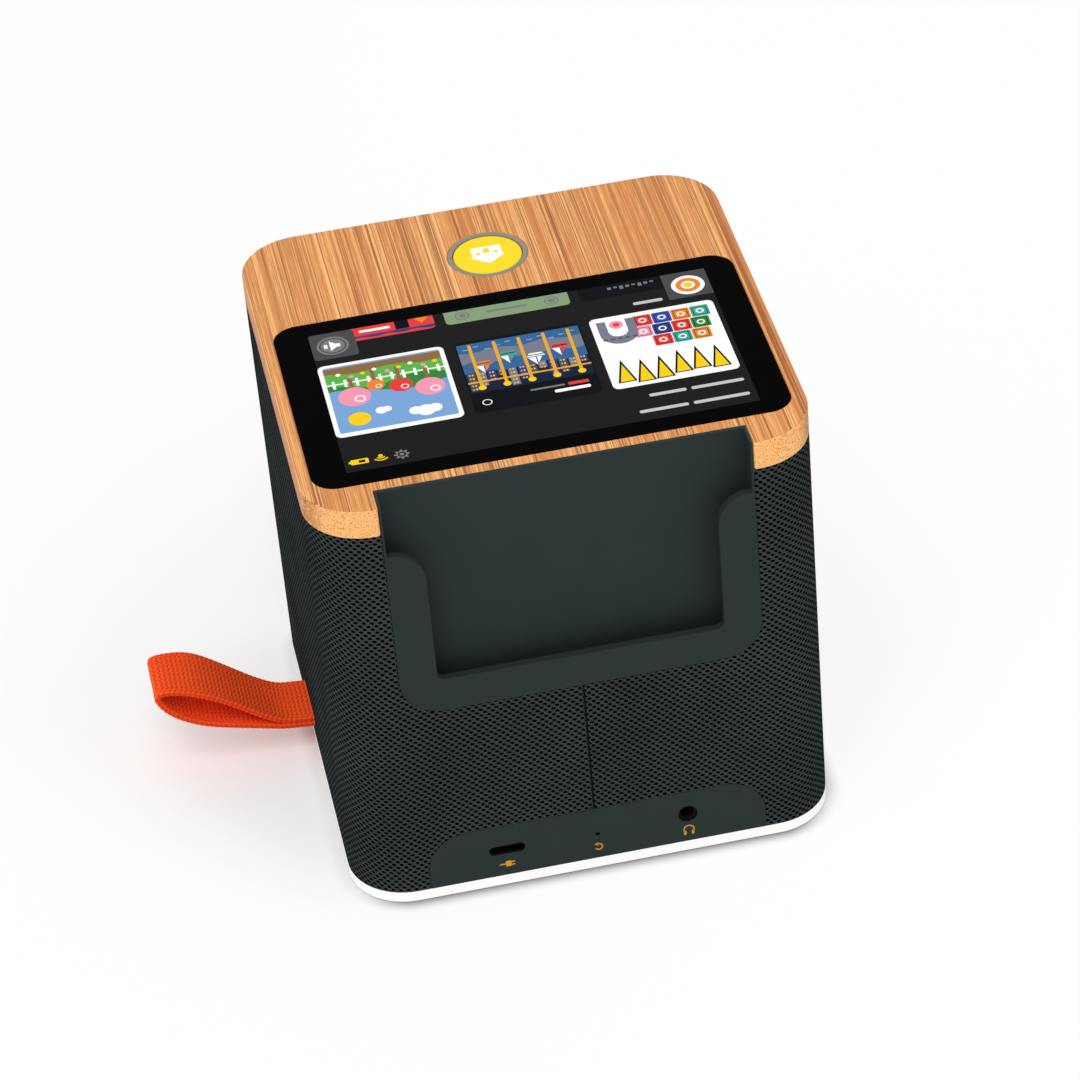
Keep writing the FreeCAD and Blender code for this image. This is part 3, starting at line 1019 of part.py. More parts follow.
def strap_parts():
    """Webbing: clamped tail, bending length and loop; the clamp and its screws."""
    y0 = STRAP_Y - STRAP_W / 2
    y1 = STRAP_Y + STRAP_W / 2
    NODES["strap_tail"] = block(TAIL_START_X, TAIL_END_X, y0, y1, STRAP_LOW_Z, STRAP_HIGH_Z)
    NODES["strap_fold"] = block(TAIL_END_X, LOOP_START_X, y0, y1, STRAP_LOW_Z, STRAP_HIGH_Z)

    low_in, low_out, low_points = loop_side((LOOP_SPLIT,) + LOOP_LOWER + (LOOP_TIP,), -1)
    up_in, up_out, up_points = loop_side((LOOP_TIP,) + LOOP_UPPER + (LOOP_SPLIT,), -1)
    tip = Vector(SIDE_X + LOOP_TIP[0], y0, STRAP_Z + LOOP_TIP[1])
    away = (low_points[-1] + up_points[0] - tip * 2).normalize()
    fold = Part.Arc(low_points[-1], tip + away * STRAP_T, up_points[0])
    root_low = Vector(LOOP_START_X, y0, STRAP_LOW_Z)
    root_high = Vector(LOOP_START_X, y0, STRAP_HIGH_Z)
    outline = Part.Wire([Part.makeLine(root_low, low_points[0]), low_out.toShape(), fold.toShape(),
                         up_out.toShape(), Part.makeLine(up_points[-1], root_high),
                         Part.makeLine(root_high, root_low)])
    hole = Part.Wire([low_in.toShape(), up_in.toShape()])
    across = Vector(0, STRAP_W, 0)
    NODES["strap_loop"] = Part.Face(outline).extrude(across).cut(Part.Face(hole).extrude(across))

    clamp = block(CLAMP_X0, CLAMP_X0 + CLAMP_X, CLAMP_Y0, CLAMP_Y1, STRAP_LOW_Z, STRAP_HIGH_Z + CLAMP_T)
    clamp = rounded(clamp, CLAMP_R, 2)
    clamp = clamp.cut(block(CLAMP_X0, CLAMP_X0 + CLAMP_X, y0 - SLIDE_GAP, y1 + SLIDE_GAP,
                            STRAP_LOW_Z, STRAP_HIGH_Z))
    height = STRAP_HIGH_Z + CLAMP_T - STRAP_LOW_Z
    clamp_holes = [rod(CLAMP_SCREW_R, (x, y, STRAP_LOW_Z), (0, 0, 1), height) for x, y in CLAMP_SCREWS]
    NODES["strap_clamp"] = clamp.cut(group(clamp_holes))
    NODES["clamp_screws"] = group([screw((x, y, STRAP_HIGH_Z + CLAMP_T), (0, 0, -1), CLAMP_SCREW_R,
                                         height + CLAMP_SCREW_BITE) for x, y in CLAMP_SCREWS])


# ---------------------------------------------------------------- leads
def between(start, end, shares):
    """Point at a share of the way from start to end, given for each axis."""
    return tuple(a + (b - a) * share for a, b, share in zip(start, end, shares))


def lead_parts():
    """Display ribbon, antenna and the round leads between the boards."""
    ribbon_z = PANEL_Z - FLEX_T / 2
    plug_z = FLEX_PLUG_Z + FLEX_PLUG_H + FLEX_T / 2
    end_y = FLEX_PLUG_Y - PLUG_Y / 2
    route = [(GLASS_CENTRE_Y, ribbon_z), (FLEX_Y, ribbon_z), (FLEX_Y, plug_z), (end_y, plug_z)]
    NODES["display_flex"] = strip(route, FLEX_BEND, FLEX_T, -FLEX_W / 2, FLEX_W / 2)
    NODES["radio_antenna"] = block(-WALL_X, -WALL_X + ANTENNA_T, -ANTENNA_Y / 2, ANTENNA_Y / 2,
                                   ANTENNA_LOW_Z, ANTENNA_LOW_Z + ANTENNA_Z)

    plug_top = BOARD_TOP_Z + PLUG_H
    ends = {name: (x, y, plug_top) for name, (x, y) in PLUG_SPOTS.items()}
    lead_x = -WALL_X + ANTENNA_T + ANTENNA_LEAD_R
    start = (lead_x, 0, ANTENNA_LOW_Z + ANTENNA_Z / 2)
    shares = [(0, 0, 0), (0, 0, 0.28), (0.18, 0.45, 0.63), (0.74, 0.91, 0.82), (1, 1, 0.9), (1, 1, 1)]
    NODES["antenna_lead"] = lead([between(start, ends["antenna"], share) for share in shares], ANTENNA_LEAD_R)

    start = (POLE_PLATE_R + LEAD_R, -WALL_Y + THROAT + POLE_PLATE_T / 2, SPEAKER_Z)
    shares = [(0, 0, 0), (0.13, 0.04, 0.33), (0.64, 0.24, 0.58), (1, 0.92, 0.7), (1, 1, 0.82), (1, 1, 1)]
    NODES["speaker_lead"] = lead([between(start, ends["speaker"], share) for share in shares])

    start = (BUTTON_LEAD_X, BUTTON_Y, COLLAR_Z - BUTTON_BOARD_T)
    shares = [(0, 0, 0), (0, 0, 0.06), (0.33, 0.28, 0.15), (0.9, 0.64, 0.35), (1, 0.96, 0.61), (1, 1, 0.85),
              (1, 1, 1)]
    NODES["button_lead"] = lead([between(start, ends["button"], share) for share in shares])

    x, y, top = ends["battery"]
    start = (x - 1.6 * LEAD_ARCH, BATTERY_REAR_Y, SHELL_Z + BATTERY_Z / 2)
    turn = (start[0], BATTERY_REAR_Y + LEAD_ARCH, start[2])
    NODES["battery_lead"] = lead([start, turn, (x - 0.6 * LEAD_ARCH, y - LEAD_ARCH, top + 1.1 * LEAD_ARCH),
                                  (x, y, top + LEAD_ARCH), (x, y, top)])


def main():
    """Model every sub-part and write one STEP file for each."""
    NODES["top_plate"] = top_plate()
    display_parts()
    button_parts()
    NODES["housing"] = housing()
    NODES["fabric_sleeve"] = fabric_sleeve()
    NODES["card_holder"] = card_holder()
    reader_parts()
    NODES["port_plate"] = port_plate()
    socket_parts()
    board_parts()
    battery_parts()
    speaker_parts()
    NODES["base_cover"] = base_cover()
    base_parts()
    strap_parts()
    lead_parts()
    os.makedirs("parts", exist_ok=True)
    for name, shape in NODES.items():
        shape.exportStep("parts/%s.step" % name)
    print("%d nodes" % len(NODES))


main()
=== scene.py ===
"""Looks of the audio story player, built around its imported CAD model.

Sizes in the classes are millimetres in the CAD frame: +Z up, the user's side at -Y, the card pocket and
the sockets at +Y, the hand loop at +X. Shell.piece turns them into metres.
"""

import logging
import math
from dataclasses import dataclass
from enum import Enum
from typing import Callable, Optional, Sequence, Union

import bmesh
import bpy
import numpy as np
from mathutils import Matrix, Vector
from mathutils.geometry import delaunay_2d_cdt


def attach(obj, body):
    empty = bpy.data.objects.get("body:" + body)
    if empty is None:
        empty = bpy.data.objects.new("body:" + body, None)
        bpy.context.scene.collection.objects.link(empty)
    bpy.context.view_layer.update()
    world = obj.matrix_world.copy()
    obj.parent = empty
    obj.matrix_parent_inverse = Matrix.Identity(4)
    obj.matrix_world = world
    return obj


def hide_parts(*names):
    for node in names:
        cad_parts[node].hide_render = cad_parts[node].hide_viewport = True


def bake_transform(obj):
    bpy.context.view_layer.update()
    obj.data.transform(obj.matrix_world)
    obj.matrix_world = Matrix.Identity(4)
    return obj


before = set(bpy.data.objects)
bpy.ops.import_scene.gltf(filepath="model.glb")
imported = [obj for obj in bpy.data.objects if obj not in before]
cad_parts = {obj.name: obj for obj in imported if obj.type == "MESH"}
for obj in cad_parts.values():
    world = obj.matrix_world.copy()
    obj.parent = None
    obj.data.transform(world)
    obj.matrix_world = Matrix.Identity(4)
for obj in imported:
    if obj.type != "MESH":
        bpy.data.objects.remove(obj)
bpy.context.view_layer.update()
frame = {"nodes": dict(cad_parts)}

MM = 0.001
MM_IN_METRE = 1000.0
PLAYER = "player"
Colour = tuple[float, float, float]
Placer = Callable[[np.ndarray, float], np.ndarray]
log = logging.getLogger("story_player")


def srgb(red: float, green: float, blue: float) -> Colour:
    """Linear colour of a display colour given in steps of 1/255.

    Args:
        red, green, blue: the display colour, 0 to 255.

    Returns:
        The three linear values, 0 to 1.
    """
    share = np.array([red, green, blue], float) / 255.0
    linear = np.where(share <= 0.04045, share / 12.92, ((share + 0.055) / 1.055) ** 2.4)
    return tuple(float(v) for v in linear)


# ------------------------------------------------------------------ outlines
def rounded_polygon(corners: Sequence[tuple[float, float]], radii: Sequence[float],
                    step: float = 9.0) -> np.ndarray:
    """Closed outline whose corners are arcs.

    An arc of radius r touches both sides at r / tan(half the corner's angle) from the corner, its middle lies
    r / sin(half the angle) along the bisector, and its points are spaced evenly in angle.

    Args:
        corners: the corners in order.
        radii: one radius for each corner, or 0 for a sharp one.
        step: largest angle between two points of an arc, in degrees.

    Returns:
        The outline's points, one a row.
    """
    points = np.array(corners, float)
    parts = []
    for corner, before, after, radius in zip(points, np.roll(points, 1, 0), np.roll(points, -1, 0), radii):
        if radius <= 0:
            parts.append(corner[None])
            continue
        back = (before - corner) / np.linalg.norm(before - corner)
        on = (after - corner) / np.linalg.norm(after - corner)
        half = 0.5 * math.acos(float(np.clip(back @ on, -1, 1)))
        bisector = (back + on) / np.linalg.norm(back + on)
        middle = corner + bisector * radius / math.sin(half)
        first = corner + back * radius / math.tan(half) - middle
        last = corner + on * radius / math.tan(half) - middle
        start = math.atan2(first[1], first[0])
        sweep = (math.atan2(last[1], last[0]) - start + math.pi) % (2 * math.pi) - math.pi
        count = max(2, math.ceil(abs(sweep) / math.radians(step)))
        angle = start + sweep * np.linspace(0, 1, count + 1)
        parts.append(middle + radius * np.stack([np.cos(angle), np.sin(angle)], 1))
    return np.concatenate(parts)


def rectangle(width: float, height: float, radius: float, centre: tuple[float, float] = (0, 0),
              step: float = 9.0) -> np.ndarray:
    """Rounded rectangle, anticlockwise.

    Args:
        width, height, radius: its size and its corners' radius.
        centre: its middle.
        step: largest angle between two points of a corner, in degrees.

    Returns:
        The outline's points, one a row.
    """
    x, y = width / 2, height / 2
    corners = [(centre[0] + sx * x, centre[1] + sy * y) for sx, sy in ((-1, -1), (1, -1), (1, 1), (-1, 1))]
    return rounded_polygon(corners, [min(radius, 0.999 * min(x, y))] * 4, step)


def circle(radius: float, centre: tuple[float, float] = (0, 0), count: int = 72) -> np.ndarray:
    """Circle of evenly spaced points, anticlockwise."""
    angle = np.linspace(0, 2 * math.pi, count, endpoint=False)
    return np.stack([centre[0] + radius * np.cos(angle), centre[1] + radius * np.sin(angle)], 1)


def arc(radius: float, centre: tuple[float, float], start: float, end: float, count: int = 16) -> np.ndarray:
    """Open arc between two angles in degrees."""
    angle = np.radians(np.linspace(start, end, count))
    return np.stack([centre[0] + radius * np.cos(angle), centre[1] + radius * np.sin(angle)], 1)


def inset(loop: np.ndarray, distance: float) -> np.ndarray:
    """Outline moved inwards: each point goes along its mitre, the sum of the two sides' normals over one plus
    their product.

    Args:
        loop: an anticlockwise outline.
        distance: how far it moves; a negative distance moves it outwards.

    Returns:
        The moved outline, point by point.
    """
    edge = np.roll(loop, -1, 0) - loop
    edge = edge / np.linalg.norm(edge, axis=1, keepdims=True)
    normal = np.stack([-edge[:, 1], edge[:, 0]], 1)
    last = np.roll(normal, 1, 0)
    spread = 1 + np.sum(normal * last, 1, keepdims=True)
    return loop + distance * (normal + last) / np.maximum(spread, 0.3)


def distances(line: np.ndarray) -> np.ndarray:
    """How far along an open line each of its points lies."""
    return np.concatenate([[0], np.cumsum(np.linalg.norm(np.diff(line, axis=0), axis=1))])


def to_the_right(line: np.ndarray) -> np.ndarray:
    """Unit normals to the right of an open line, from the difference of each point's neighbours.

    Args:
        line: its points, one a row.

    Returns:
        One normal a point.
    """
    heading = np.gradient(line, axis=0)
    heading /= np.linalg.norm(heading, axis=1, keepdims=True)
    return np.stack([heading[:, 1], -heading[:, 0]], 1)


def divided(loop: np.ndarray, step: float) -> np.ndarray:
    """Outline with points added evenly along every side that is longer than step.

    Args:
        loop: the outline.
        step: longest side that is left whole.

    Returns:
        The outline with its added points.
    """
    ends = np.roll(loop, -1, 0)
    counts = np.maximum(1, np.ceil(np.linalg.norm(ends - loop, axis=1) / step).astype(int))
    return np.concatenate([a + (b - a) * np.arange(n)[:, None] / n for a, b, n in zip(loop, ends, counts)])


def inside(points: np.ndarray, loops: Sequence[np.ndarray]) -> np.ndarray:
    """Finds points inside outlines, by counting the sides that a ray to the right crosses.

    Args:
        points: flat points, one a row.
        loops: the outlines.

    Returns:
        Whether each point lies in an odd number of them.
    """
    found = np.zeros(len(points), bool)
    x, y = points[:, :1], points[:, 1:]
    for loop in loops:
        x0, y0 = loop[:, 0], loop[:, 1]
        x1, y1 = np.roll(x0, -1), np.roll(y0, -1)
        spans = (y0 > y) != (y1 > y)
        cut = x0 + (y - y0) * (x1 - x0) / np.where(y1 == y0, 1e-12, y1 - y0)
        found ^= np.count_nonzero(spans & (x < cut), 1) % 2 == 1
    return found


def spline(points: Sequence[tuple[float, float]], count: int) -> np.ndarray:
    """Smooth curve through points: the natural cubic spline on the distance along the chords, solved for its
    second derivatives and read at evenly spaced distances.

    Args:
        points: the points that it passes.
        count: how many points it gets.

    Returns:
        The curve's points, one a row.
    """
    knots = np.array(points, float)
    at = distances(knots)
    gap = np.diff(at)
    size = len(knots)
    matrix = np.eye(size)
    right = np.zeros((size, 2))
    row = np.arange(1, size - 1)
    matrix[row, row - 1] = gap[:-1]
    matrix[row, row] = 2 * (gap[:-1] + gap[1:])
    matrix[row, row + 1] = gap[1:]
    slope = np.diff(knots, axis=0) / gap[:, None]
    right[1:-1] = 6 * np.diff(slope, axis=0)
    bend = np.linalg.solve(matrix, right)
    want = np.linspace(0, at[-1], count)
    part = np.clip(np.searchsorted(at, want, side="right") - 1, 0, size - 2)
    h = gap[part][:, None]
    a = (at[part + 1][:, None] - want[:, None]) / h
    b = 1 - a
    curved = (a ** 3 - a) * bend[part] + (b ** 3 - b) * bend[part + 1]
    return a * knots[part] + b * knots[part + 1] + curved * h * h / 6


def on_top(loop: np.ndarray, level: float) -> np.ndarray:
    """Outline in x and y at a height."""
    return np.column_stack([loop, np.full(len(loop), level)])


def on_rear(loop: np.ndarray, level: float) -> np.ndarray:
    """Outline in x and z at a depth along y."""
    return np.column_stack([loop[:, 0], np.full(len(loop), level), loop[:, 1]])


def edge_rows(level: float, towards: float, radius: float, steps: int = 4, flat: float = 0.3,
              wall: float = 0.3) -> list[tuple[float, float]]:
    """Insets and levels of a rounded edge: a quarter circle between a wall and a face, with one more row on
    the wall and one on the face that keep both flat in the shading.

    Args:
        level: the face's level.
        towards: +1 where the wall comes up to the face, -1 where it comes down to it.
        radius: the edge's radius.
        steps: rows along the quarter circle.
        flat, wall: how far the two further rows lie from the edge.

    Returns:
        Pairs of inset and level, from the wall to the face.
    """
    rows = [(0.0, level - towards * (radius + wall))]
    for angle in np.linspace(0, math.pi / 2, steps + 1):
        rows.append((radius * (1 - math.cos(angle)), level - towards * radius * (1 - math.sin(angle))))
    return rows + [(radius + flat, level)]


def lip_rows(level: float, flat: float, radius: float, middle: float) -> list[tuple[float, float]]:
    """Insets and levels of the softened edge of an opening, from the face down to the wall.

    Args:
        level: the face's level.
        flat: how far from the opening the face begins.
        radius: the edge's reach on the face and on the wall.
        middle: how far its middle lies from both.

    Returns:
        Pairs of inset and level; the insets are negative, since they lie outside the opening.
    """
    return [(-flat, level), (-radius, level), (-middle, level - middle), (0.0, level - radius)]


def linked(name: str, data: bpy.types.ID) -> bpy.types.Object:
    """New object of the scene with the mesh, lamp or camera that it shows.

    Args:
        name: its name.
        data: what it shows.

    Returns:
        The object.
    """
    made = bpy.data.objects.new(name, data)
    bpy.context.scene.collection.objects.link(made)
    return made


# ------------------------------------------------------------------ meshes
class Shell:
    """Surfaces of one piece, gathered in millimetres, with marks that its material may read."""

    def __init__(self) -> None:
        """An empty shell."""
        self.points: list[np.ndarray] = []
        self.marks: list[np.ndarray] = []
        self.faces: list[list[int]] = []
        self.paints: list[int] = []
        self.paint = 0
        self.count = 0

    def add(self, points: np.ndarray, faces: Sequence[Sequence[int]],
            mark: Optional[np.ndarray] = None) -> None:
        """Adds one surface.

        Args:
            points: its points, one a row.
            faces: its faces, as indices of these points.
            mark: three or four numbers a point, such as a place on the cloth or a colour.
        """
        start = self.count
        if mark is None:
            mark = np.zeros((len(points), 4))
        if mark.shape[1] == 3:
            mark = np.column_stack([mark, np.ones(len(mark))])
        self.points.append(points)
        self.marks.append(mark)
        self.faces += [[start + int(i) for i in face] for face in faces]
        self.paints += [self.paint] * len(faces)
        self.count += len(points)

    def band(self, rows: np.ndarray, closed: bool = True, around: bool = False,
             mark: Optional[np.ndarray] = None) -> None:
        """Adds the quads between successive rows of points.

        Args:
            rows: an array of rows, points and coordinates.
            closed: whether the last point of a row joins its first one.
            around: whether the last row joins the first one.
            mark: marks in the same order.
        """
        count, length = rows.shape[:2]
        index = np.arange(count * length).reshape(count, length)
        here, there = (index, np.roll(index, -1, 0)) if around else (index[:-1], index[1:])
        ahead, over = np.roll(here, -1, 1), np.roll(there, -1, 1)
        if not closed:
            here, there, ahead, over = (part[:, :-1] for part in (here, there, ahead, over))
        quads = np.stack([here, ahead, over, there], -1).reshape(-1, 4)
        marks = None if mark is None else mark.reshape(index.size, -1)
        self.add(rows.reshape(-1, 3), quads.tolist(), marks)

    def walls(self, loop: np.ndarray, rows: Sequence[tuple[float, float]], place: Placer) -> None:
        """Adds the sides of an outline, carried through pairs of inset and level."""
        self.band(np.stack([place(inset(loop, distance), level) for distance, level in rows]))

    def wall(self, loop: np.ndarray, start: float, end: float, place: Placer) -> None:
        """Adds the straight sides of an outline between two levels."""
        self.walls(loop, [(0.0, start), (0.0, end)], place)

    def flat(self, loops: Sequence[np.ndarray], place: Placer, level: float,
             inner: Optional[np.ndarray] = None,
             mark: Optional[Callable[[np.ndarray], np.ndarray]] = None) -> None:
        """Adds the region inside the first outline and outside the others, as Delaunay triangles.

        Args:
            loops: the region's outlines.
            place: turns flat points and a level into points in space.
            level: the level.
            inner: further points that the triangles use.
            mark: turns flat points into marks.
        """
        edges, start = [], 0
        for loop in loops:
            edges += [(start + i, start + (i + 1) % len(loop)) for i in range(len(loop))]
            start += len(loop)
        cloud = np.concatenate(list(loops) + ([] if inner is None else [inner]))
        found, _, faces, *_ = delaunay_2d_cdt([Vector(p) for p in cloud.tolist()], edges, [], 1, 1e-7, False)
        points = np.array([tuple(p) for p in found])
        faces = np.array([face for face in faces if len(face) == 3])
        kept = faces[inside(points[faces].mean(1), loops)]
        self.add(place(points, level), kept.tolist(), None if mark is None else mark(points))

    def plate(self, loop: np.ndarray, rows: Sequence[tuple[float, float]], place: Placer) -> None:
        """Adds a closed solid: an outline's sides with a flat face at the first and the last row.

        Args:
            loop: the outline.
            rows: pairs of inset and level.
            place: turns flat points and a level into points in space.
        """
        self.walls(loop, rows, place)
        for distance, level in (rows[0], rows[-1]):
            self.flat([inset(loop, distance)], place, level)

    def turned(self, profile: Sequence[tuple[float, float]], centre: tuple[float, float],
               count: int = 96) -> None:
        """Adds a closed profile of radius and height, carried round an upright axis.

        Args:
            profile: pairs of radius and height.
            centre: the axis in x and y.
            count: points round the axis.
        """
        rows = [on_top(circle(radius, centre, count), height) for radius, height in profile]
        self.band(np.stack(rows), around=True)

    def piece(self, name: str, body: str, slot: str, *materials: bpy.types.Material,
              replaces: Sequence[str] = (), angle: float = 32.0, closed: bool = True,
              join: float = 1e-4) -> bpy.types.Object:
        """Makes the mesh in metres, links it into the scene and attaches it to its body.

        Args:
            name: the piece's name.
            body: the CAD body that it moves with, or nothing for a piece that is attached to none.
            slot: the record's material slot; not used.
            materials: its material, and further ones that its paint numbers choose.
            replaces: the CAD nodes that it stands for.
            angle: edges that turn more than this many degrees stay sharp.
            closed: whether its surfaces close, so that the normals can be worked out from them.
            join: points nearer than this many millimetres become one.

        Returns:
            The piece's object.
        """
        mesh = bpy.data.meshes.new(name)
        points = np.concatenate(self.points) * MM
        mesh.from_pydata(points.tolist(), [], self.faces)
        mesh.polygons.foreach_set("material_index", self.paints)
        marks = mesh.attributes.new("mark", "FLOAT_COLOR", "POINT")
        marks.data.foreach_set("color", np.concatenate(self.marks).astype(np.float32).ravel())
        work = bmesh.new()
        work.from_mesh(mesh)
        if join > 0:
            bmesh.ops.remove_doubles(work, verts=work.verts, dist=join * MM)
        if closed:
            bmesh.ops.recalc_face_normals(work, faces=work.faces)
        work.to_mesh(mesh)
        work.free()
        mesh.shade_smooth()
        mesh.set_sharp_from_angle(angle=math.radians(angle))
        for material in materials:
            mesh.materials.append(material)
        made = linked(name, mesh)
        if body:
            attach(made, body)
        if replaces:
            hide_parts(*replaces)
        log.info("%s: %d faces on %s", name, len(mesh.polygons), body or "two bodies")
        return made


# ------------------------------------------------------------------ shader arithmetic
class Term:
    """A number or colour inside a material. Python's operators on it add the Math nodes."""

    def __init__(self, graph: "Graph", socket: bpy.types.NodeSocket) -> None:
        """Wraps one output socket of a graph."""
        self.graph = graph
        self.socket = socket

    def __add__(self, other: "Number") -> "Term":
        """Sum."""
        return self.graph.math("ADD", self, other)

    def __sub__(self, other: "Number") -> "Term":
        """Difference."""
        return self.graph.math("SUBTRACT", self, other)

    def __rsub__(self, other: "Number") -> "Term":
        """Difference from a number."""
        return self.graph.math("SUBTRACT", other, self)

    def __mul__(self, other: "Number") -> "Term":
        """Product."""
        return self.graph.math("MULTIPLY", self, other)

    def __truediv__(self, other: "Number") -> "Term":
        """Quotient."""
        return self.graph.math("DIVIDE", self, other)

    def __pow__(self, other: "Number") -> "Term":
        """Power."""
        return self.graph.math("POWER", self, other)

    def __abs__(self) -> "Term":
        """Size without its sign."""
        return self.graph.math("ABSOLUTE", self)

    __radd__ = __add__
    __rmul__ = __mul__


Number = Union[Term, float]


def plainly_seen(tree: bpy.types.NodeTree) -> bpy.types.NodeSocket:
    """Adds nodes that give 1 to camera, glossy and transmitted rays and 0 to all others.

    Args:
        tree: the nodes of a material or of the surroundings.

    Returns:
        The socket that holds the number.
    """
    rays = tree.nodes.new("ShaderNodeLightPath").outputs
    found = rays["Is Camera Ray"]
    for kind in ("Is Glossy Ray", "Is Transmission Ray"):
        either = tree.nodes.new("ShaderNodeMath")
        either.operation = "MAXIMUM"
        tree.links.new(found, either.inputs[0])
        tree.links.new(rays[kind], either.inputs[1])
        found = either.outputs[0]
    return found


class Graph:
    """Node tree of one material, with the few kinds of node that the finishes use."""

    def __init__(self, name: str) -> None:
        """A new material with one Principled shader.

        Args:
            name: the material's name.
        """
        self.material = bpy.data.materials.new(name)
        self.material.use_nodes = True
        self.tree = self.material.node_tree
        self.tree.nodes.clear()
        self.shader = self.node("ShaderNodeBsdfPrincipled")
        self.output = self.node("ShaderNodeOutputMaterial")
        self.tree.links.new(self.shader.outputs[0], self.output.inputs[0])

    def node(self, kind: str, settings: Optional[dict] = None,
             inputs: Optional[dict] = None) -> bpy.types.Node:
        """Adds one node.

        Args:
            kind: the node's type.
            settings: its properties, set first; "stops" gives a ramp's places and colours.
            inputs: values or terms of its sockets, by name or number.

        Returns:
            The node.
        """
        node = self.tree.nodes.new(kind)
        for name, value in (settings or {}).items():
            if name == "stops":
                ramp = node.color_ramp
                while len(ramp.elements) < len(value):
                    ramp.elements.new(1.0)
                for element, (place, colour) in zip(ramp.elements, value):
                    element.position = place
                    element.color = (*colour, 1.0)
            else:
                setattr(node, name, value)
        for name, value in (inputs or {}).items():
            self.feed(node.inputs[name], value)
        return node

    def feed(self, socket: bpy.types.NodeSocket, value: object) -> None:
        """Links a term to a socket, or sets a value on it.

        Args:
            socket: an input of a node.
            value: a term, a number, a colour or a vector.
        """
        if isinstance(value, Term):
            self.tree.links.new(value.socket, socket)
        elif isinstance(value, tuple) and len(value) == 3 and socket.type == "RGBA":
            socket.default_value = (*value, 1.0)
        else:
            socket.default_value = value

    def math(self, operation: str, *terms: Number, clamp: bool = False) -> Term:
        """One Math node.

        Args:
            operation: what it works out.
            terms: the terms and numbers that go in.
            clamp: whether its result is held between 0 and 1.

        Returns:
            Its result.
        """
        settings = {"operation": operation, "use_clamp": clamp}
        node = self.node("ShaderNodeMath", settings, dict(enumerate(terms)))
        return Term(self, node.outputs[0])

    def vector(self, operation: str, *terms: object) -> Term:
        """One Vector Math node on vectors."""
        node = self.node("ShaderNodeVectorMath", {"operation": operation}, dict(enumerate(terms)))
        return Term(self, node.outputs[0])

    def place(self, stretch: tuple[float, float, float] = (1, 1, 1)) -> Term:
        """The point on the piece in millimetres, each direction multiplied by its stretch.

        Args:
            stretch: the factors along x, y and z.

        Returns:
            The stretched point.
        """
        node = self.node("ShaderNodeTexCoord")
        scale = tuple(s * MM_IN_METRE for s in stretch)
        return self.vector("MULTIPLY", Term(self, node.outputs["Object"]), scale)

    def mark(self) -> Term:
        """The piece's own marks, as a colour or vector."""
        node = self.node("ShaderNodeAttribute", {"attribute_name": "mark"})
        return Term(self, node.outputs["Color"])

    def parts(self, vector: Term) -> tuple[Term, Term, Term]:
        """The three numbers of a vector."""
        node = self.node("ShaderNodeSeparateXYZ", None, {0: vector})
        return tuple(Term(self, node.outputs[i]) for i in range(3))

    def join(self, x: Number, y: Number, z: Number) -> Term:
        """A vector of three numbers."""
        node = self.node("ShaderNodeCombineXYZ", None, {0: x, 1: y, 2: z})
        return Term(self, node.outputs[0])

    def noise(self, vector: Term, scale: float = 1.0, detail: float = 2.0, rough: float = 0.5) -> Term:
        """Smooth noise from 0 to 1; scale is in cycles a unit of the vector."""
        inputs = {"Vector": vector, "Scale": scale, "Detail": detail, "Roughness": rough}
        return Term(self, self.node("ShaderNodeTexNoise", None, inputs).outputs[0])

    def step(self, value: Number, low: float, high: float, start: float = 0.0, end: float = 1.0) -> Term:
        """Value carried smoothly from one range to another, and held outside.

        Args:
            value: the value.
            low, high: the range that it comes from.
            start, end: what it becomes at low and at high.

        Returns:
            The carried value.
        """
        inputs = {"Value": value, "From Min": low, "From Max": high, "To Min": start, "To Max": end}
        node = self.node("ShaderNodeMapRange", {"interpolation_type": "SMOOTHSTEP"}, inputs)
        return Term(self, node.outputs[0])

    def mix(self, share: Number, first: object, second: object) -> Term:
        """Colour between two colours.

        Args:
            share: 0 for the first, 1 for the second.
            first, second: colours or terms.

        Returns:
            The mixed colour.
        """
        node = self.node("ShaderNodeMix", {"data_type": "RGBA"})
        for index, value in ((0, share), (6, first), (7, second)):
            self.feed(node.inputs[index], value)
        return Term(self, node.outputs[2])

    def ramp(self, value: Number, stops: Sequence[tuple[float, Colour]]) -> Term:
        """Colour read from a ramp."""
        node = self.node("ShaderNodeValToRGB", {"stops": stops}, {0: value})
        return Term(self, node.outputs[0])

    def bump(self, height: Number, depth: float) -> Term:
        """Normal of a relief whose height runs from 0 to 1 over depth millimetres."""
        inputs = {"Height": height, "Distance": depth * MM, "Strength": 1.0}
        return Term(self, self.node("ShaderNodeBump", None, inputs).outputs["Normal"])

    def finish(self, **sockets: object) -> bpy.types.Material:
        """Sets the shader's sockets.

        Args:
            sockets: values or terms by the sockets' names, with underscores for spaces.

        Returns:
            The material.
        """
        for name, value in sockets.items():
            self.feed(self.shader.inputs[name.replace("_", " ")], value)
        return self.material


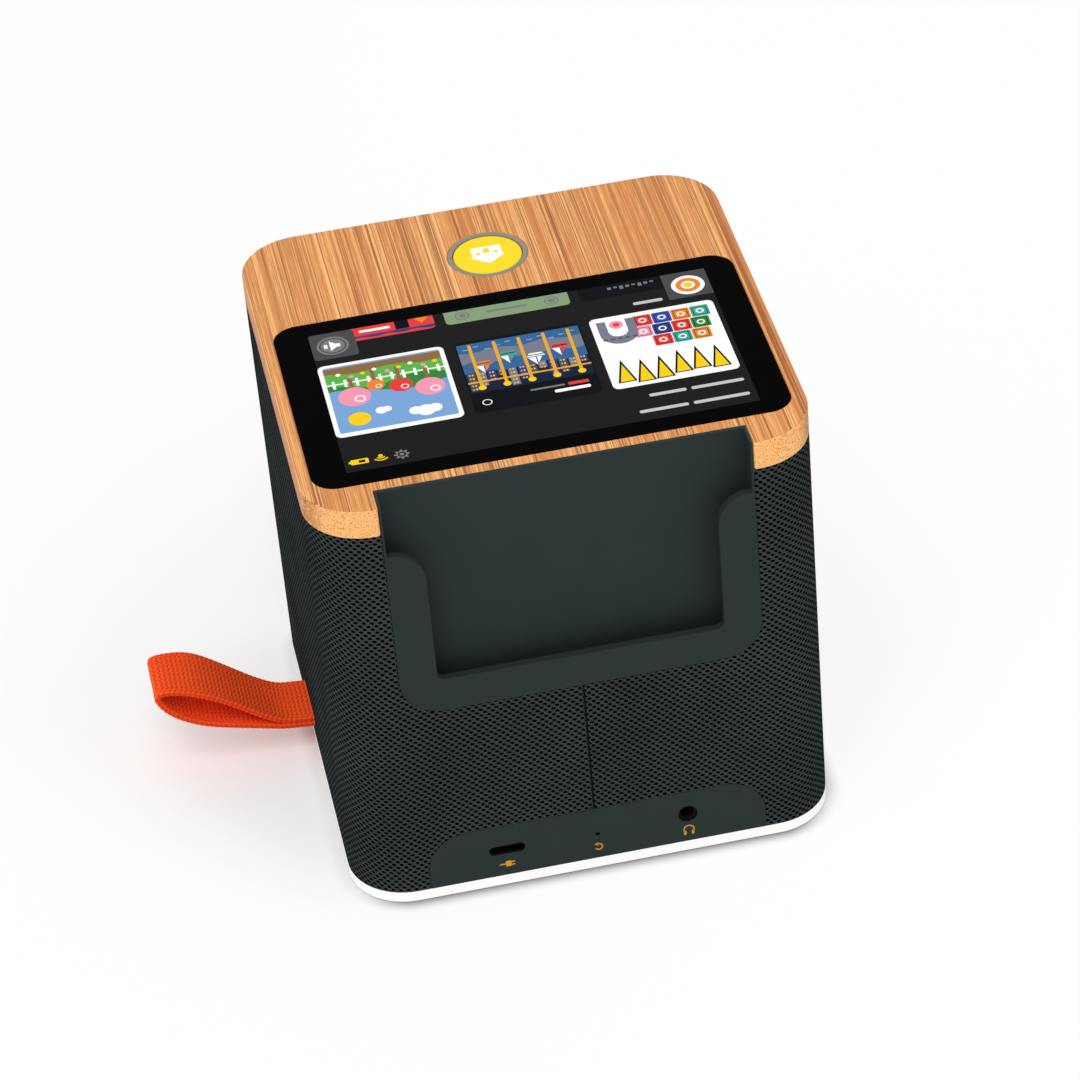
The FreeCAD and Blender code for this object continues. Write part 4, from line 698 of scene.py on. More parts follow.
# ------------------------------------------------------------------ finishes
@dataclass(frozen=True)
class Moulded:
    """Plastic, rubber, paper or paint: one colour with faint mottling and a fine moulded grain."""

    name: str
    colour: Colour
    roughness: float = 0.5
    mottle: float = 0.06
    grain: float = 0.25
    depth: float = 0.01
    coat: float = 0.0
    metallic: float = 0.0
    specular: float = 0.5
    cloud: float = 0.12
    spread: float = 0.04
    coat_roughness: float = 0.15

    def material(self) -> bpy.types.Material:
        """Colour and roughness follow a slow noise, and the relief a fast one of grain millimetres.

        Returns:
            The material.
        """
        graph = Graph(self.name)
        place = graph.place()
        cloud = graph.step(graph.noise(place, self.cloud, 3.0), 0.3, 0.7)
        grain = graph.noise(place, 1.0 / self.grain, 2.0)
        dark = tuple(c * (1 - self.mottle) for c in self.colour)
        light = tuple(min(1.0, c * (1 + self.mottle)) for c in self.colour)
        rough = cloud * (2 * self.spread) + (self.roughness - self.spread)
        return graph.finish(Base_Color=graph.mix(cloud, dark, light), Roughness=rough, Metallic=self.metallic,
                            Coat_Weight=self.coat, Coat_Roughness=self.coat_roughness,
                            Specular_IOR_Level=self.specular, Normal=graph.bump(grain, self.depth))


@dataclass(frozen=True)
class Brushed:
    """Metal with fine lines along one direction."""

    name: str
    colour: Colour
    roughness: float = 0.3
    stretch: tuple[float, float, float] = (6.0, 6.0, 0.3)
    dull: float = 0.85
    depth: float = 0.01

    def material(self) -> bpy.types.Material:
        """Roughness and relief follow a noise that is long in one direction and short in the others.

        Returns:
            The material.
        """
        graph = Graph(self.name)
        lines = graph.noise(graph.place(self.stretch), 1.0, 2.0)
        tone = graph.noise(graph.place(), 0.3, 2.0)
        dark = tuple(c * self.dull for c in self.colour)
        rough = graph.step(lines, 0.2, 0.8, self.roughness - 0.08, self.roughness + 0.1)
        return graph.finish(Base_Color=graph.mix(tone, dark, self.colour), Metallic=1.0, Roughness=rough,
                            Normal=graph.bump(lines, self.depth))


@dataclass(frozen=True)
class Bamboo:
    """Pressed bamboo strips whose fibres run along Y."""

    name: str
    light: Colour = srgb(250, 196, 130)
    pale: Colour = srgb(239, 175, 109)
    middle: Colour = srgb(224, 153, 89)
    warm: Colour = srgb(200, 122, 63)
    vein: Colour = srgb(126, 56, 22)
    end_light: Colour = srgb(252, 189, 120)
    end_dark: Colour = srgb(200, 122, 62)
    bands: tuple[float, float] = (0.11, 0.002)
    streaks: tuple[float, float] = (0.7, 0.004)
    lines: tuple[float, float] = (1.3, 0.0025)
    fibres: tuple[float, float] = (6.0, 0.10)
    dots: tuple[float, float] = (2.6, 0.3)
    contrast: float = 0.34
    vein_share: float = 0.9
    relief: float = 0.03

    def material(self) -> bpy.types.Material:
        """Noises that are all long along the fibres: wide tone bands, streaks and fibres. Dark lines follow
        the places where a noise passes its middle value. The ends of the fibres are pale with darker dots.

        Returns:
            The material.
        """
        graph = Graph(self.name)

        def noise(waves: tuple[float, float], detail: float, rough: float = 0.6) -> Term:
            """Noise with so many waves a millimetre across and along the fibres."""
            return graph.noise(graph.place((waves[0], waves[1], waves[0])), 1.0, detail, rough)

        bands = noise(self.bands, 1.0, 0.5)
        streaks = noise(self.streaks, 2.0)
        lines = noise(self.lines, 1.0)
        fibres = noise(self.fibres, 2.0)
        tone = (bands - 0.5) * 0.5 + (streaks - 0.5) * 0.8 + (fibres - 0.5) * 0.9
        base = graph.ramp(graph.step(tone, -self.contrast, self.contrast),
                          [(0.0, self.warm), (0.38, self.middle), (0.68, self.pale), (1.0, self.light)])
        dark_lines = graph.step(abs(lines - 0.5), 0.01, 0.12, 1.0, 0.0)
        in_streaks = graph.step(streaks, 0.38, 0.60, 0.3, 1.0)
        share = dark_lines * in_streaks * graph.step(fibres, 0.25, 0.6, 0.6, 1.0)
        grain = graph.mix(share * self.vein_share, base, self.vein)
        ends = graph.mix(graph.step(noise(self.dots, 2.0), 0.48, 0.66), self.end_light, self.end_dark)
        facing = graph.node("ShaderNodeTexCoord").outputs["Normal"]
        cut = graph.step(abs(graph.parts(Term(graph, facing))[1]), 0.45, 0.75)
        height = fibres * 0.6 - share * 0.5
        return graph.finish(Base_Color=graph.mix(cut, grain, ends),
                            Roughness=graph.step(fibres, 0.3, 0.7, 0.45, 0.6),
                            Specular_IOR_Level=0.2, Normal=graph.bump(height, self.relief))


@dataclass(frozen=True)
class Knit:
    """Speaker cloth: thread with staggered openings, laid out by the cloth's own millimetres."""

    name: str
    thread: Colour = srgb(72, 77, 78)
    shade: Colour = srgb(33, 37, 38)
    opening: Colour = srgb(2, 3, 5)
    pitch: float = 1.92
    row: float = 0.9
    half_length: float = 0.50
    half_height: float = 0.355
    tilt: float = 14.0
    square: float = 2.6
    wobble: float = 0.14
    jitter: float = 0.25
    relief: float = 0.2

    def material(self) -> bpy.types.Material:
        """Every second row is moved by half a pitch. A cell's opening is a tilted oblong: each of its two
        directions over its half size, to the power of square, adds up to less than one.

        Returns:
            The material.
        """
        graph = Graph(self.name)
        across, up, _ = graph.parts(graph.mark())
        wobble = graph.noise(graph.join(across, up, 0.0), 0.45, 2.0) - 0.5
        jitter = graph.noise(graph.join(across, up, 7.0), 0.8, 1.0) - 0.5
        level = up / self.row + jitter * self.jitter
        row = graph.math("FLOOR", level)
        shift = graph.math("MODULO", row, 2.0) * 0.5
        place = across / self.pitch + shift + wobble * self.wobble
        cell = (graph.math("FRACT", place) - 0.5) * self.pitch
        lift = (graph.math("FRACT", level) - 0.5) * self.row
        c, s = math.cos(math.radians(self.tilt)), math.sin(math.radians(self.tilt))
        long_way = abs(cell * c + lift * s) / self.half_length
        short_way = abs(lift * c - cell * s) / self.half_height
        reach = long_way ** self.square + short_way ** self.square
        open_share = graph.step(reach, 0.5, 1.5, 1.0, 0.0)
        yarn = graph.noise(graph.join(across * 3.0, up * 7.0, 0.0), 1.0, 2.0)
        cloud = graph.noise(graph.join(across, up, 3.0), 0.035, 2.0)
        thread = graph.mix(graph.step(yarn * 0.9 + cloud * 0.15, 0.38, 0.68), self.shade, self.thread)
        colour = graph.mix(open_share, thread, self.opening)
        height = (1.0 - open_share) * 0.8 + yarn * 0.2
        return graph.finish(Base_Color=colour, Roughness=0.9, Specular_IOR_Level=0.0,
                            Normal=graph.bump(height, self.relief))


@dataclass(frozen=True)
class Webbing:
    """Woven polyester: the colour darkens towards the weave's hollows as painted shade, and the selvedges are
    brighter.
    """

    name: str
    ridge: Colour = srgb(255, 96, 38)
    valley_shade: Colour = srgb(216, 47, 12)
    edge: Colour = srgb(255, 92, 34)
    half: float = 8.0
    selvedge: float = 1.6
    relief: float = 0.05

    def material(self) -> bpy.types.Material:
        """The mark holds the way along, the way across and the height of the weave.

        Returns:
            The material.
        """
        graph = Graph(self.name)
        along, across, height = graph.parts(graph.mark())
        fuzz = graph.noise(graph.join(along * 5.0, across * 5.0, 0.0), 1.0, 2.0)
        cloud = graph.noise(graph.join(along, across, 0.0), 0.12, 2.0)
        rim = self.half - self.selvedge
        top = graph.mix(graph.step(abs(across), rim - 0.3, rim + 0.1), self.ridge, self.edge)
        # Painted shade: the colour runs from the ridge colour on the weave's crowns to the darker valley
        # colour in its hollows.
        share = graph.step(height + fuzz * 0.25 + cloud * 0.2, 0.25, 1.05)
        colour = graph.mix(share, self.valley_shade, top)
        return graph.finish(Base_Color=colour, Roughness=0.8, Specular_IOR_Level=0.12,
                            Normal=graph.bump(fuzz, self.relief))


@dataclass(frozen=True)
class Screen:
    """Lit picture under the cover glass: its colours are the piece's marks."""

    name: str
    glow: float = 0.25
    dots: float = 9.0
    dot_shade: float = 0.04

    def material(self) -> bpy.types.Material:
        """Base and emission take the same colour, shared so that together they show it as it is.

        Returns:
            The material.
        """
        graph = Graph(self.name)
        dots = graph.noise(graph.place(), self.dots, 0.0)
        colour = graph.mix(graph.step(dots, 0.2, 0.8, 0.0, self.dot_shade), graph.mark(), (0.0, 0.0, 0.0))
        dim = graph.mix(self.glow, colour, (0.0, 0.0, 0.0))
        return graph.finish(Base_Color=dim, Emission_Color=colour, Emission_Strength=self.glow, Roughness=0.3,
                            Specular_IOR_Level=0.015)


@dataclass(frozen=True)
class CircuitBoard:
    """Lacquered board with tracks and tinned pads."""

    name: str
    lacquer: Colour = srgb(18, 74, 44)
    track: Colour = srgb(36, 110, 66)
    pad: Colour = srgb(196, 178, 120)
    track_scale: float = 0.45
    pad_scale: float = 0.8
    relief: float = 0.04

    def material(self) -> bpy.types.Material:
        """Tracks are the edges of square cells, pads the middles of small ones.

        Returns:
            The material.
        """
        graph = Graph(self.name)
        place = graph.place()
        settings = {"feature": "F1", "distance": "CHEBYCHEV"}
        cells, dots = (Term(graph, graph.node("ShaderNodeTexVoronoi", settings,
                                              {"Vector": place, "Scale": scale}).outputs[0])
                       for scale in (self.track_scale, self.pad_scale))
        track = graph.step(cells, 0.45, 0.5)
        pad = graph.step(dots, 0.10, 0.13, 1.0, 0.0)
        colour = graph.mix(pad, graph.mix(track, self.lacquer, self.track), self.pad)
        return graph.finish(Base_Color=colour, Roughness=graph.step(pad, 0.0, 1.0, 0.4, 0.3),
                            Metallic=pad * 0.8, Normal=graph.bump(track * 0.5 + pad, self.relief))


@dataclass(frozen=True)
class Ground:
    """Pale floor that the camera sees as white and that keeps the object's shadow."""

    name: str
    albedo: float = 0.95
    shade: float = 0.3
    lift: tuple[float, float] = (0.82, 0.28)
    lift_x: tuple[float, float] = (-30.0, 70.0)
    behind: float = 0.85
    behind_y: tuple[float, float] = (25.0, 85.0)
    sides: float = 0.3
    sides_x: tuple[float, float] = (46.0, 62.0)
    half: float = 60.0
    corner: float = 15.0
    contact: float = 4.6
    fade: float = 5.0

    def material(self) -> bpy.types.Material:
        """To camera, glossy and transmitted rays a share of plain white joins the lit surface, smaller on the
        hand loop's side and larger behind the body and away from it. It falls off close to the body, by the
        distance to its rounded plan, and the floor is darker there to the same rays, less so at both sides,
        so that the contact stays dark.

        Returns:
            The material.
        """
        graph = Graph(self.name)
        seen = Term(graph, plainly_seen(graph.tree))
        x, y, _ = graph.parts(graph.place())
        out = [graph.math("MAXIMUM", abs(way) - (self.half - self.corner), 0.0) for way in (x, y)]
        gap = graph.math("SQRT", out[0] ** 2.0 + out[1] ** 2.0) - self.corner
        # Painted contact shadow: close to the body's rounded plan, camera, glossy and transmitted rays see
        # the floor darkened to shade times its albedo, less so at both sides.
        dark = (self.albedo * self.shade,) * 3
        ends = graph.step(abs(x), *self.sides_x, 1.0, self.sides)
        near = graph.step(gap, -0.5, self.contact, 1.0, 0.0) * ends * seen
        colour = graph.mix(near, (self.albedo,) * 3, dark)
        graph.finish(Base_Color=colour, Roughness=1.0, Specular_IOR_Level=0.0)
        # The share of white changes with place, so the real shadow stays on the hand loop's side and near the
        # body, and fades behind and away from it.
        side = graph.step(x, *self.lift_x, *self.lift)
        behind = graph.step(y + gap, *self.behind_y, 0.0, self.behind)
        lift = graph.step(gap, 0.0, self.fade) * (side + (1.0 - side) * behind)
        glow = graph.node("ShaderNodeEmission", None, {"Color": (1.0, 1.0, 1.0), "Strength": 1.0})
        blend = graph.node("ShaderNodeMixShader", None, {0: seen * lift})
        graph.tree.links.new(graph.shader.outputs[0], blend.inputs[1])
        graph.tree.links.new(glow.outputs[0], blend.inputs[2])
        graph.tree.links.new(blend.outputs[0], graph.output.inputs[0])
        return graph.material


FINISHES = {
    "bamboo": Bamboo("bamboo_strips"),
    "cover_glass": Moulded("cover_glass_black", srgb(3, 3, 4), 0.12, 0.1, 8.0, 0.001, specular=0.006),
    "black_tape": Moulded("adhesive_tape", srgb(24, 24, 25), 0.7, 0.1, 0.4, 0.02),
    "display": Moulded("display_panel", srgb(22, 23, 26), 0.25, 0.05, 2.0, 0.002),
    "black_plastic": Moulded("black_moulding", srgb(16, 16, 18), 0.5, 0.08, 0.3, 0.02, specular=0.15),
    "dark_plastic": Moulded("teal_grey_moulding", srgb(38, 48, 47), 0.6, 0.03, 0.22, 0.012, specular=0.1),
    "grey_plastic": Moulded("warm_grey_bezel", srgb(138, 133, 121), 0.45, 0.04, 0.2, 0.008, specular=0.2),
    "yellow_plastic": Moulded("yellow_button", srgb(248, 214, 8), 0.45, 0.02, 0.3, 0.006, specular=0.2),
    "silicone": Moulded("grey_silicone", srgb(90, 90, 92), 0.6, 0.05, 0.3, 0.02),
    "circuit_board": CircuitBoard("lacquered_board"),
    "steel": Brushed("screw_steel", srgb(176, 178, 182), 0.32),
    "plated_steel": Brushed("plated_sheet", srgb(196, 197, 196), 0.28, (0.5, 7.0, 7.0)),
    "knit_fabric": Knit("speaker_cloth"),
    "ivory_plastic": Moulded("ivory_plug", srgb(226, 219, 200), 0.45, 0.04, 0.3, 0.02),
    "battery_wrap": Moulded("blue_battery_wrap", srgb(45, 95, 170), 0.3, 0.06, 3.0, 0.05, coat=0.4),
    "foam": Moulded("gasket_foam", srgb(42, 42, 44), 0.9, 0.25, 0.5, 0.15),
    "ferrite": Moulded("ferrite_magnet", srgb(60, 60, 64), 0.7, 0.15, 0.6, 0.08),
    "cone_paper": Moulded("speaker_cone_paper", srgb(46, 45, 44), 0.85, 0.3, 0.7, 0.12),
    "copper": Brushed("copper_winding", srgb(214, 128, 84), 0.3, (0.5, 0.5, 9.0)),
    "spider_cloth": Moulded("resin_cloth", srgb(204, 152, 82), 0.8, 0.2, 0.5, 0.12),
    "white_plastic": Moulded("white_moulding", srgb(254, 254, 253), 0.45, 0.01, 0.25, 0.008),
    "rubber": Moulded("foot_rubber", srgb(36, 37, 38), 0.85, 0.12, 0.6, 0.12),
    "webbing": Webbing("orange_webbing"),
    "flex_film": Moulded("amber_film", srgb(190, 132, 44), 0.3, 0.08, 1.0, 0.01, coat=0.3),
    "lead_jacket": Moulded("lead_sleeving", srgb(38, 38, 40), 0.5, 0.1, 0.4, 0.03),
}


class Wardrobe:
    """Materials by the record's slots, made once each."""

    def __init__(self) -> None:
        """Makes every finish's material."""
        self.made = {slot: finish.material() for slot, finish in FINISHES.items()}

    def dress_nodes(self, nodes: dict[str, bpy.types.Object]) -> None:
        """Gives each CAD node the material of its slots, except the charging socket's shell, which gets a
        near-black nickel as painted shade.

        Args:
            nodes: the CAD nodes by name.
        """
        # Painted shade: the charging socket's shell is near-black instead of bright plated steel, to stand
        # for the shade inside the slot.
        dull = Brushed("nickel_in_painted_shade", srgb(26, 26, 28), 0.5).material()
        for name, node in nodes.items():
            for held in node.material_slots:
                held.material = dull if name == "usb_shell" else self.made[held.material.name.split(".")[0]]
        log.info("%d CAD nodes dressed", len(nodes))


# ------------------------------------------------------------------ camera and light
@dataclass(frozen=True)
class Studio:
    """Camera, lamps, white surroundings and floor."""

    place: Vector = Vector((0.12044, 0.85569, 0.69553))
    azimuth: float = 171.914
    elevation: float = 36.480
    roll: float = -5.334
    lens: float = 144.712
    sensor: float = 36.0
    near: float = 0.01
    floor: float = 3.0
    lamp_place: Vector = Vector((0.55, 1.35, 2.45))
    lamp_target: Vector = Vector((0.0, 0.0, 0.05))
    lamp_size: float = 1.4
    lamp_power: float = 29.0
    daylight: float = 0.8

    def camera(self) -> None:
        """Looks from azimuth and elevation, then turns about the line of sight."""
        a, e, r = (math.radians(v) for v in (self.azimuth, self.elevation, self.roll))
        back = Vector((math.sin(a) * math.cos(e), -math.cos(a) * math.cos(e), math.sin(e)))
        right = (-back).cross(Vector((0, 0, 1))).normalized()
        down = (-back).cross(right)
        side = math.cos(r) * right - math.sin(r) * down
        under = math.sin(r) * right + math.cos(r) * down
        data = bpy.data.cameras.new("camera")
        data.sensor_width = self.sensor
        data.lens = self.lens
        data.clip_start = self.near
        made = linked("camera", data)
        turn = Matrix((side, -under, back)).transposed()
        made.matrix_world = Matrix.Translation(self.place) @ turn.to_4x4()
        bpy.context.scene.camera = made

    def lamp(self) -> None:
        """Square lamp, turned to its target."""
        data = bpy.data.lights.new("key_lamp", "AREA")
        data.size = self.lamp_size
        data.energy = self.lamp_power
        made = linked("key_lamp", data)
        made.location = self.lamp_place
        made.rotation_euler = (self.lamp_target - self.lamp_place).to_track_quat("-Z", "Y").to_euler()

    def surroundings(self) -> None:
        """World that lights with a plain strength and shows white to camera, glossy and transmitted rays."""
        world = bpy.data.worlds.new("studio")
        bpy.context.scene.world = world
        world.use_nodes = True
        tree = world.node_tree
        tree.nodes.clear()
        level = tree.nodes.new("ShaderNodeMapRange")
        back = tree.nodes.new("ShaderNodeBackground")
        output = tree.nodes.new("ShaderNodeOutputWorld")
        level.inputs["To Min"].default_value = self.daylight
        level.inputs["To Max"].default_value = 1.0
        back.inputs["Color"].default_value = (1.0, 1.0, 1.0, 1.0)
        tree.links.new(plainly_seen(tree), level.inputs["Value"])
        tree.links.new(level.outputs[0], back.inputs["Strength"])
        tree.links.new(back.outputs[0], output.inputs[0])

    def ground(self) -> None:
        """Square floor under the foot pad."""
        half = self.floor / 2
        corners = [(-half, -half, 0), (half, -half, 0), (half, half, 0), (-half, half, 0)]
        mesh = bpy.data.meshes.new("floor")
        mesh.from_pydata(corners, [], [(0, 1, 2, 3)])
        mesh.materials.append(Ground("studio_floor").material())
        made = linked("floor", mesh)

    def build(self) -> None:
        """Sets the whole studio up."""
        bpy.context.scene.view_settings.view_transform = "Standard"
        self.camera()
        self.surroundings()
        self.lamp()
        self.ground()
        log.info("studio ready")


# ------------------------------------------------------------------ top
@dataclass(frozen=True)
class BambooTop:
    """Bamboo plate with the glass recess, the display window, the button hole and the rear notch."""

    width: float = 120.0
    depth: float = 120.5
    corner: float = 15.0
    under: float = 110.4
    top: float = 118.0
    edge: float = 0.4
    notch_half: float = 43.7
    notch_depth: float = 7.6
    notch_out: float = 0.8
    notch_in: float = 0.3
    recess: tuple[float, float, float] = (113.6, 69.5, 6.05)
    window: tuple[float, float, float] = (103.0, 62.4, 1.0)
    display_y: float = 14.7
    ledge: float = 116.6
    button_y: float = -37.2
    hole: float = 10.05
    lip: tuple[float, float, float] = (0.35, 0.12, 0.035)

    def outline(self) -> np.ndarray:
        """Plan of the plate: a rounded rectangle with the notch cut into its rear side.

        Returns:
            The outline.
        """
        x, y = self.width / 2, self.depth / 2
        n, d = self.notch_half, y - self.notch_depth
        corners = [(-x, -y), (x, -y), (x, y), (n, y), (n, d), (-n, d), (-n, y), (-x, y)]
        notch = [self.notch_out, self.notch_in, self.notch_in, self.notch_out]
        return rounded_polygon(corners, [self.corner] * 3 + notch + [self.corner], 4.0)

    def build(self, wardrobe: Wardrobe) -> None:
        """Closes the plate from its sides, both faces, the recess, the window and the hole.

        Args:
            wardrobe: the materials.
        """
        shell = Shell()
        outline = self.outline()
        centre = (0.0, self.display_y)
        recess = rectangle(*self.recess, centre, 6.0)
        window = rectangle(*self.window, centre, 15.0)
        hole = circle(self.hole, (0.0, self.button_y), 96)
        rim = edge_rows(self.top, 1, self.edge)
        foot = [(0.55, self.under), (0.3, self.under), (0.08, self.under + 0.1), (0.0, self.under + 0.35),
                (0.0, self.under + 0.7)]
        shell.walls(outline, foot + rim, on_top)
        lip = lip_rows(self.top, *self.lip)
        shell.walls(recess, lip + [(0.0, self.ledge)], on_top)
        shell.walls(hole, lip + [(0.0, self.under)], on_top)
        shell.wall(window, self.ledge, self.under, on_top)
        shell.flat([inset(outline, rim[-1][0]), inset(recess, lip[0][0]), inset(hole, lip[0][0])],
                   on_top, self.top)
        shell.flat([recess, window], on_top, self.ledge)
        shell.flat([inset(outline, foot[0][0]), window, hole], on_top, self.under)
        shell.piece("top_plate_bamboo", PLAYER, "bamboo", wardrobe.made["bamboo"], replaces=["top_plate"])


@dataclass(frozen=True)
class RoundButton:
    """Grey bezel with its guide, the yellow cap and the printed house on it."""

    centre: tuple[float, float] = (0.0, -37.2)
    top: float = 118.0
    under: float = 110.4
    ring: float = 10.0
    bore: float = 8.7
    flange: float = 17.0
    flange_low: float = 108.9
    collar: float = 12.5
    collar_low: float = 105.6
    guide: float = 9.9
    stop: float = 110.3
    cap: float = 8.55
    sink: float = 0.2
    skin: float = 2.4
    inner: float = 7.35
    post: float = 2.0
    post_low: float = 107.25
    skirt: float = 9.6
    skirt_low: float = 109.35
    skirt_high: float = 110.25

    def build(self, wardrobe: Wardrobe) -> None:
        """Makes the bezel and the cap as turned profiles, and lays the symbol on the cap.

        Args:
            wardrobe: the materials.
        """
        top, bore, ring = self.top, self.bore, self.ring
        bezel = [(bore, self.stop), (bore, top - 0.5), (bore, top - 0.2), (bore + 0.06, top - 0.06),
                 (bore + 0.2, top), (bore + 0.4, top), (ring - 0.45, top), (ring - 0.22, top),
                 (ring - 0.07, top - 0.07), (ring, top - 0.22), (ring, self.under), (self.flange, self.under),
                 (self.flange, self.flange_low), (self.collar, self.flange_low),
                 (self.collar, self.collar_low), (self.guide, self.collar_low), (self.guide, self.stop)]
        shell = Shell()
        shell.turned(bezel, self.centre)
        shell.piece("button_bezel", PLAYER, "grey_plastic", wardrobe.made["grey_plastic"],
                    replaces=["button_ring"])

        crown, edge = top - self.sink, self.cap
        cap = Shell()
        rows = [(self.post, self.post_low), (self.post, crown - self.skin), (self.inner, crown - self.skin),
                (self.inner, self.skirt_low), (self.skirt, self.skirt_low), (self.skirt, self.skirt_high),
                (edge, self.skirt_high), (edge, crown - 0.7), (edge, crown - 0.35), (edge - 0.1, crown - 0.1),
                (edge - 0.35, crown), (edge - 0.7, crown)]
        circles = [on_top(circle(r, self.centre, 96), z) for r, z in rows]
        cap.band(np.stack(circles))
        cap.flat([circles[-1][:, :2]], on_top, crown)
        cap.flat([circles[0][:, :2]], on_top, rows[0][1])
        cap.piece("button_cap_yellow", "home_button", "yellow_plastic", wardrobe.made["yellow_plastic"],
                  replaces=["button_cap"])
        self.symbol(crown, wardrobe)

    def symbol(self, level: float, wardrobe: Wardrobe) -> None:
        """House under a gable with eaves, with a door and two windows left open, printed 0.03 mm thick.

        Args:
            level: the cap's upper face.
            wardrobe: the materials.
        """
        x, y = self.centre
        house = [(-4.7, 0.35), (-3.7, 0.35), (-3.7, -3.7), (3.7, -3.7), (3.7, 0.35), (4.7, 0.35), (0.0, 3.9)]
        corners = [(x + u, y + v) for u, v in house]
        loops = [rounded_polygon(corners, [0.3, 0.1, 0.6, 0.6, 0.1, 0.3, 0.5], 30.0),
                 rectangle(1.5, 2.3, 0.2, (x, y - 1.9), 30.0),
                 rectangle(1.1, 1.1, 0.15, (x - 2.25, y - 0.9), 30.0),
                 rectangle(1.1, 1.1, 0.15, (x + 2.25, y - 0.9), 30.0)]
        low, high = level - 0.01, level + 0.03
        shell = Shell()
        for loop in loops:
            shell.wall(loop, low, high, on_top)
        shell.flat(loops, on_top, low)
        shell.flat(loops, on_top, high)
        shell.piece("button_symbol", "home_button", "white_plastic", wardrobe.made["white_plastic"])


# ------------------------------------------------------------------ display
class Hue(Enum):
    """Colours of the picture."""

    GROUND = (26, 26, 27)
    PANEL = (74, 74, 76)
    PALE = (122, 122, 124)
    WHITE = (250, 250, 250)
    SKY = (122, 164, 214)
    GRASS = (92, 178, 72)
    LEAF = (52, 132, 60)
    SOIL = (142, 104, 66)
    PINK = (240, 152, 176)
    RED = (226, 64, 58)
    NIGHT = (24, 34, 58)
    SEA = (54, 100, 148)
    AMBER = (232, 168, 42)
    BLACK = (12, 14, 18)
    YELLOW = (246, 206, 24)
    STEEL = (118, 122, 138)
    TEAL = (60, 168, 150)
    BLUE = (52, 84, 176)
    ORANGE = (236, 132, 48)
    SAGE = (132, 158, 120)
    NAVY = (50, 62, 128)
    SLATE = (74, 78, 96)
    SILVER = (196, 196, 198)


class Picture:
    """Flat shapes laid over each other and cut into one sheet of triangles."""

    def __init__(self, level: float) -> None:
        """An empty picture at a height."""
        self.shapes: list[tuple[Sequence[np.ndarray], Hue]] = []
        self.level = level

    def shape(self, loops: Sequence[np.ndarray], hue: Hue) -> None:
        """Adds one shape, an outline and its holes, over all that came before."""
        self.shapes.append((loops, hue))

    def sheet(self) -> Shell:
        """Cuts all outlines into one triangulation. A triangle takes the colour of the last shape that holds
        its middle, and has three points of its own, so that colours end sharply.

        Returns:
            The sheet.
        """
        loops = [loop for shape, _ in self.shapes for loop in shape]
        starts = [0]
        for loop in loops:
            starts.append(starts[-1] + len(loop))
        edges = [(a + i, a + (i + 1) % (b - a)) for a, b in zip(starts, starts[1:]) for i in range(b - a)]
        cloud = [Vector(p) for p in np.concatenate(loops).tolist()]
        found, _, faces, *_ = delaunay_2d_cdt(cloud, edges, [], 1, 1e-6, False)
        points = np.array([tuple(p) for p in found])
        corners = points[np.array([face for face in faces if len(face) == 3])]
        middles = corners.mean(1)
        colours = np.zeros((len(corners), 3))
        for shape, hue in self.shapes:
            colours[inside(middles, shape)] = srgb(*hue.value)
        shell = Shell()
        flat = corners.reshape(-1, 2)
        shell.add(on_top(flat, self.level), np.arange(len(flat)).reshape(-1, 3), np.repeat(colours, 3, 0))
        return shell

    def box(self, left: float, low: float, right: float, high: float, hue: Hue, radius: float = 0.0) -> None:
        """Adds a rectangle.

        Args:
            left, low: its lower left corner.
            right, high: its upper right corner.
            hue: its colour.
            radius: its corners' radius.
        """
        centre = ((left + right) / 2, (low + high) / 2)
        if radius:
            self.shape([rectangle(right - left, high - low, radius, centre, 15.0)], hue)
        else:
            self.shape([np.array([(left, low), (right, low), (right, high), (left, high)])], hue)

    def disc(self, x: float, y: float, radius: float, hue: Hue, hole: float = 0.0) -> None:
        """Adds a disc or a ring."""
        loops = [circle(radius, (x, y), 32)] + ([circle(hole, (x, y), 32)] if hole else [])
        self.shape(loops, hue)

    def poly(self, corners: Sequence[tuple[float, float]], hue: Hue) -> None:
        """Adds a polygon."""
        self.shape([np.array(corners, float)], hue)

    def hill(self, left: float, right: float, low: float, base: float, rise: float, waves: float,
             hue: Hue) -> None:
        """Adds ground whose upper edge is a sine.

        Args:
            left, right, low: its sides and its lower edge.
            base, rise: the sine's middle level and its height over it.
            waves: how many waves it has.
            hue: its colour.
        """
        x = np.linspace(left, right, 33)
        y = base + rise * np.sin((x - left) / (right - left) * waves * 2 * math.pi)
        loop = np.concatenate([[(left, low), (right, low)], np.stack([x, y], 1)[::-1]])
        self.shape([loop], hue)


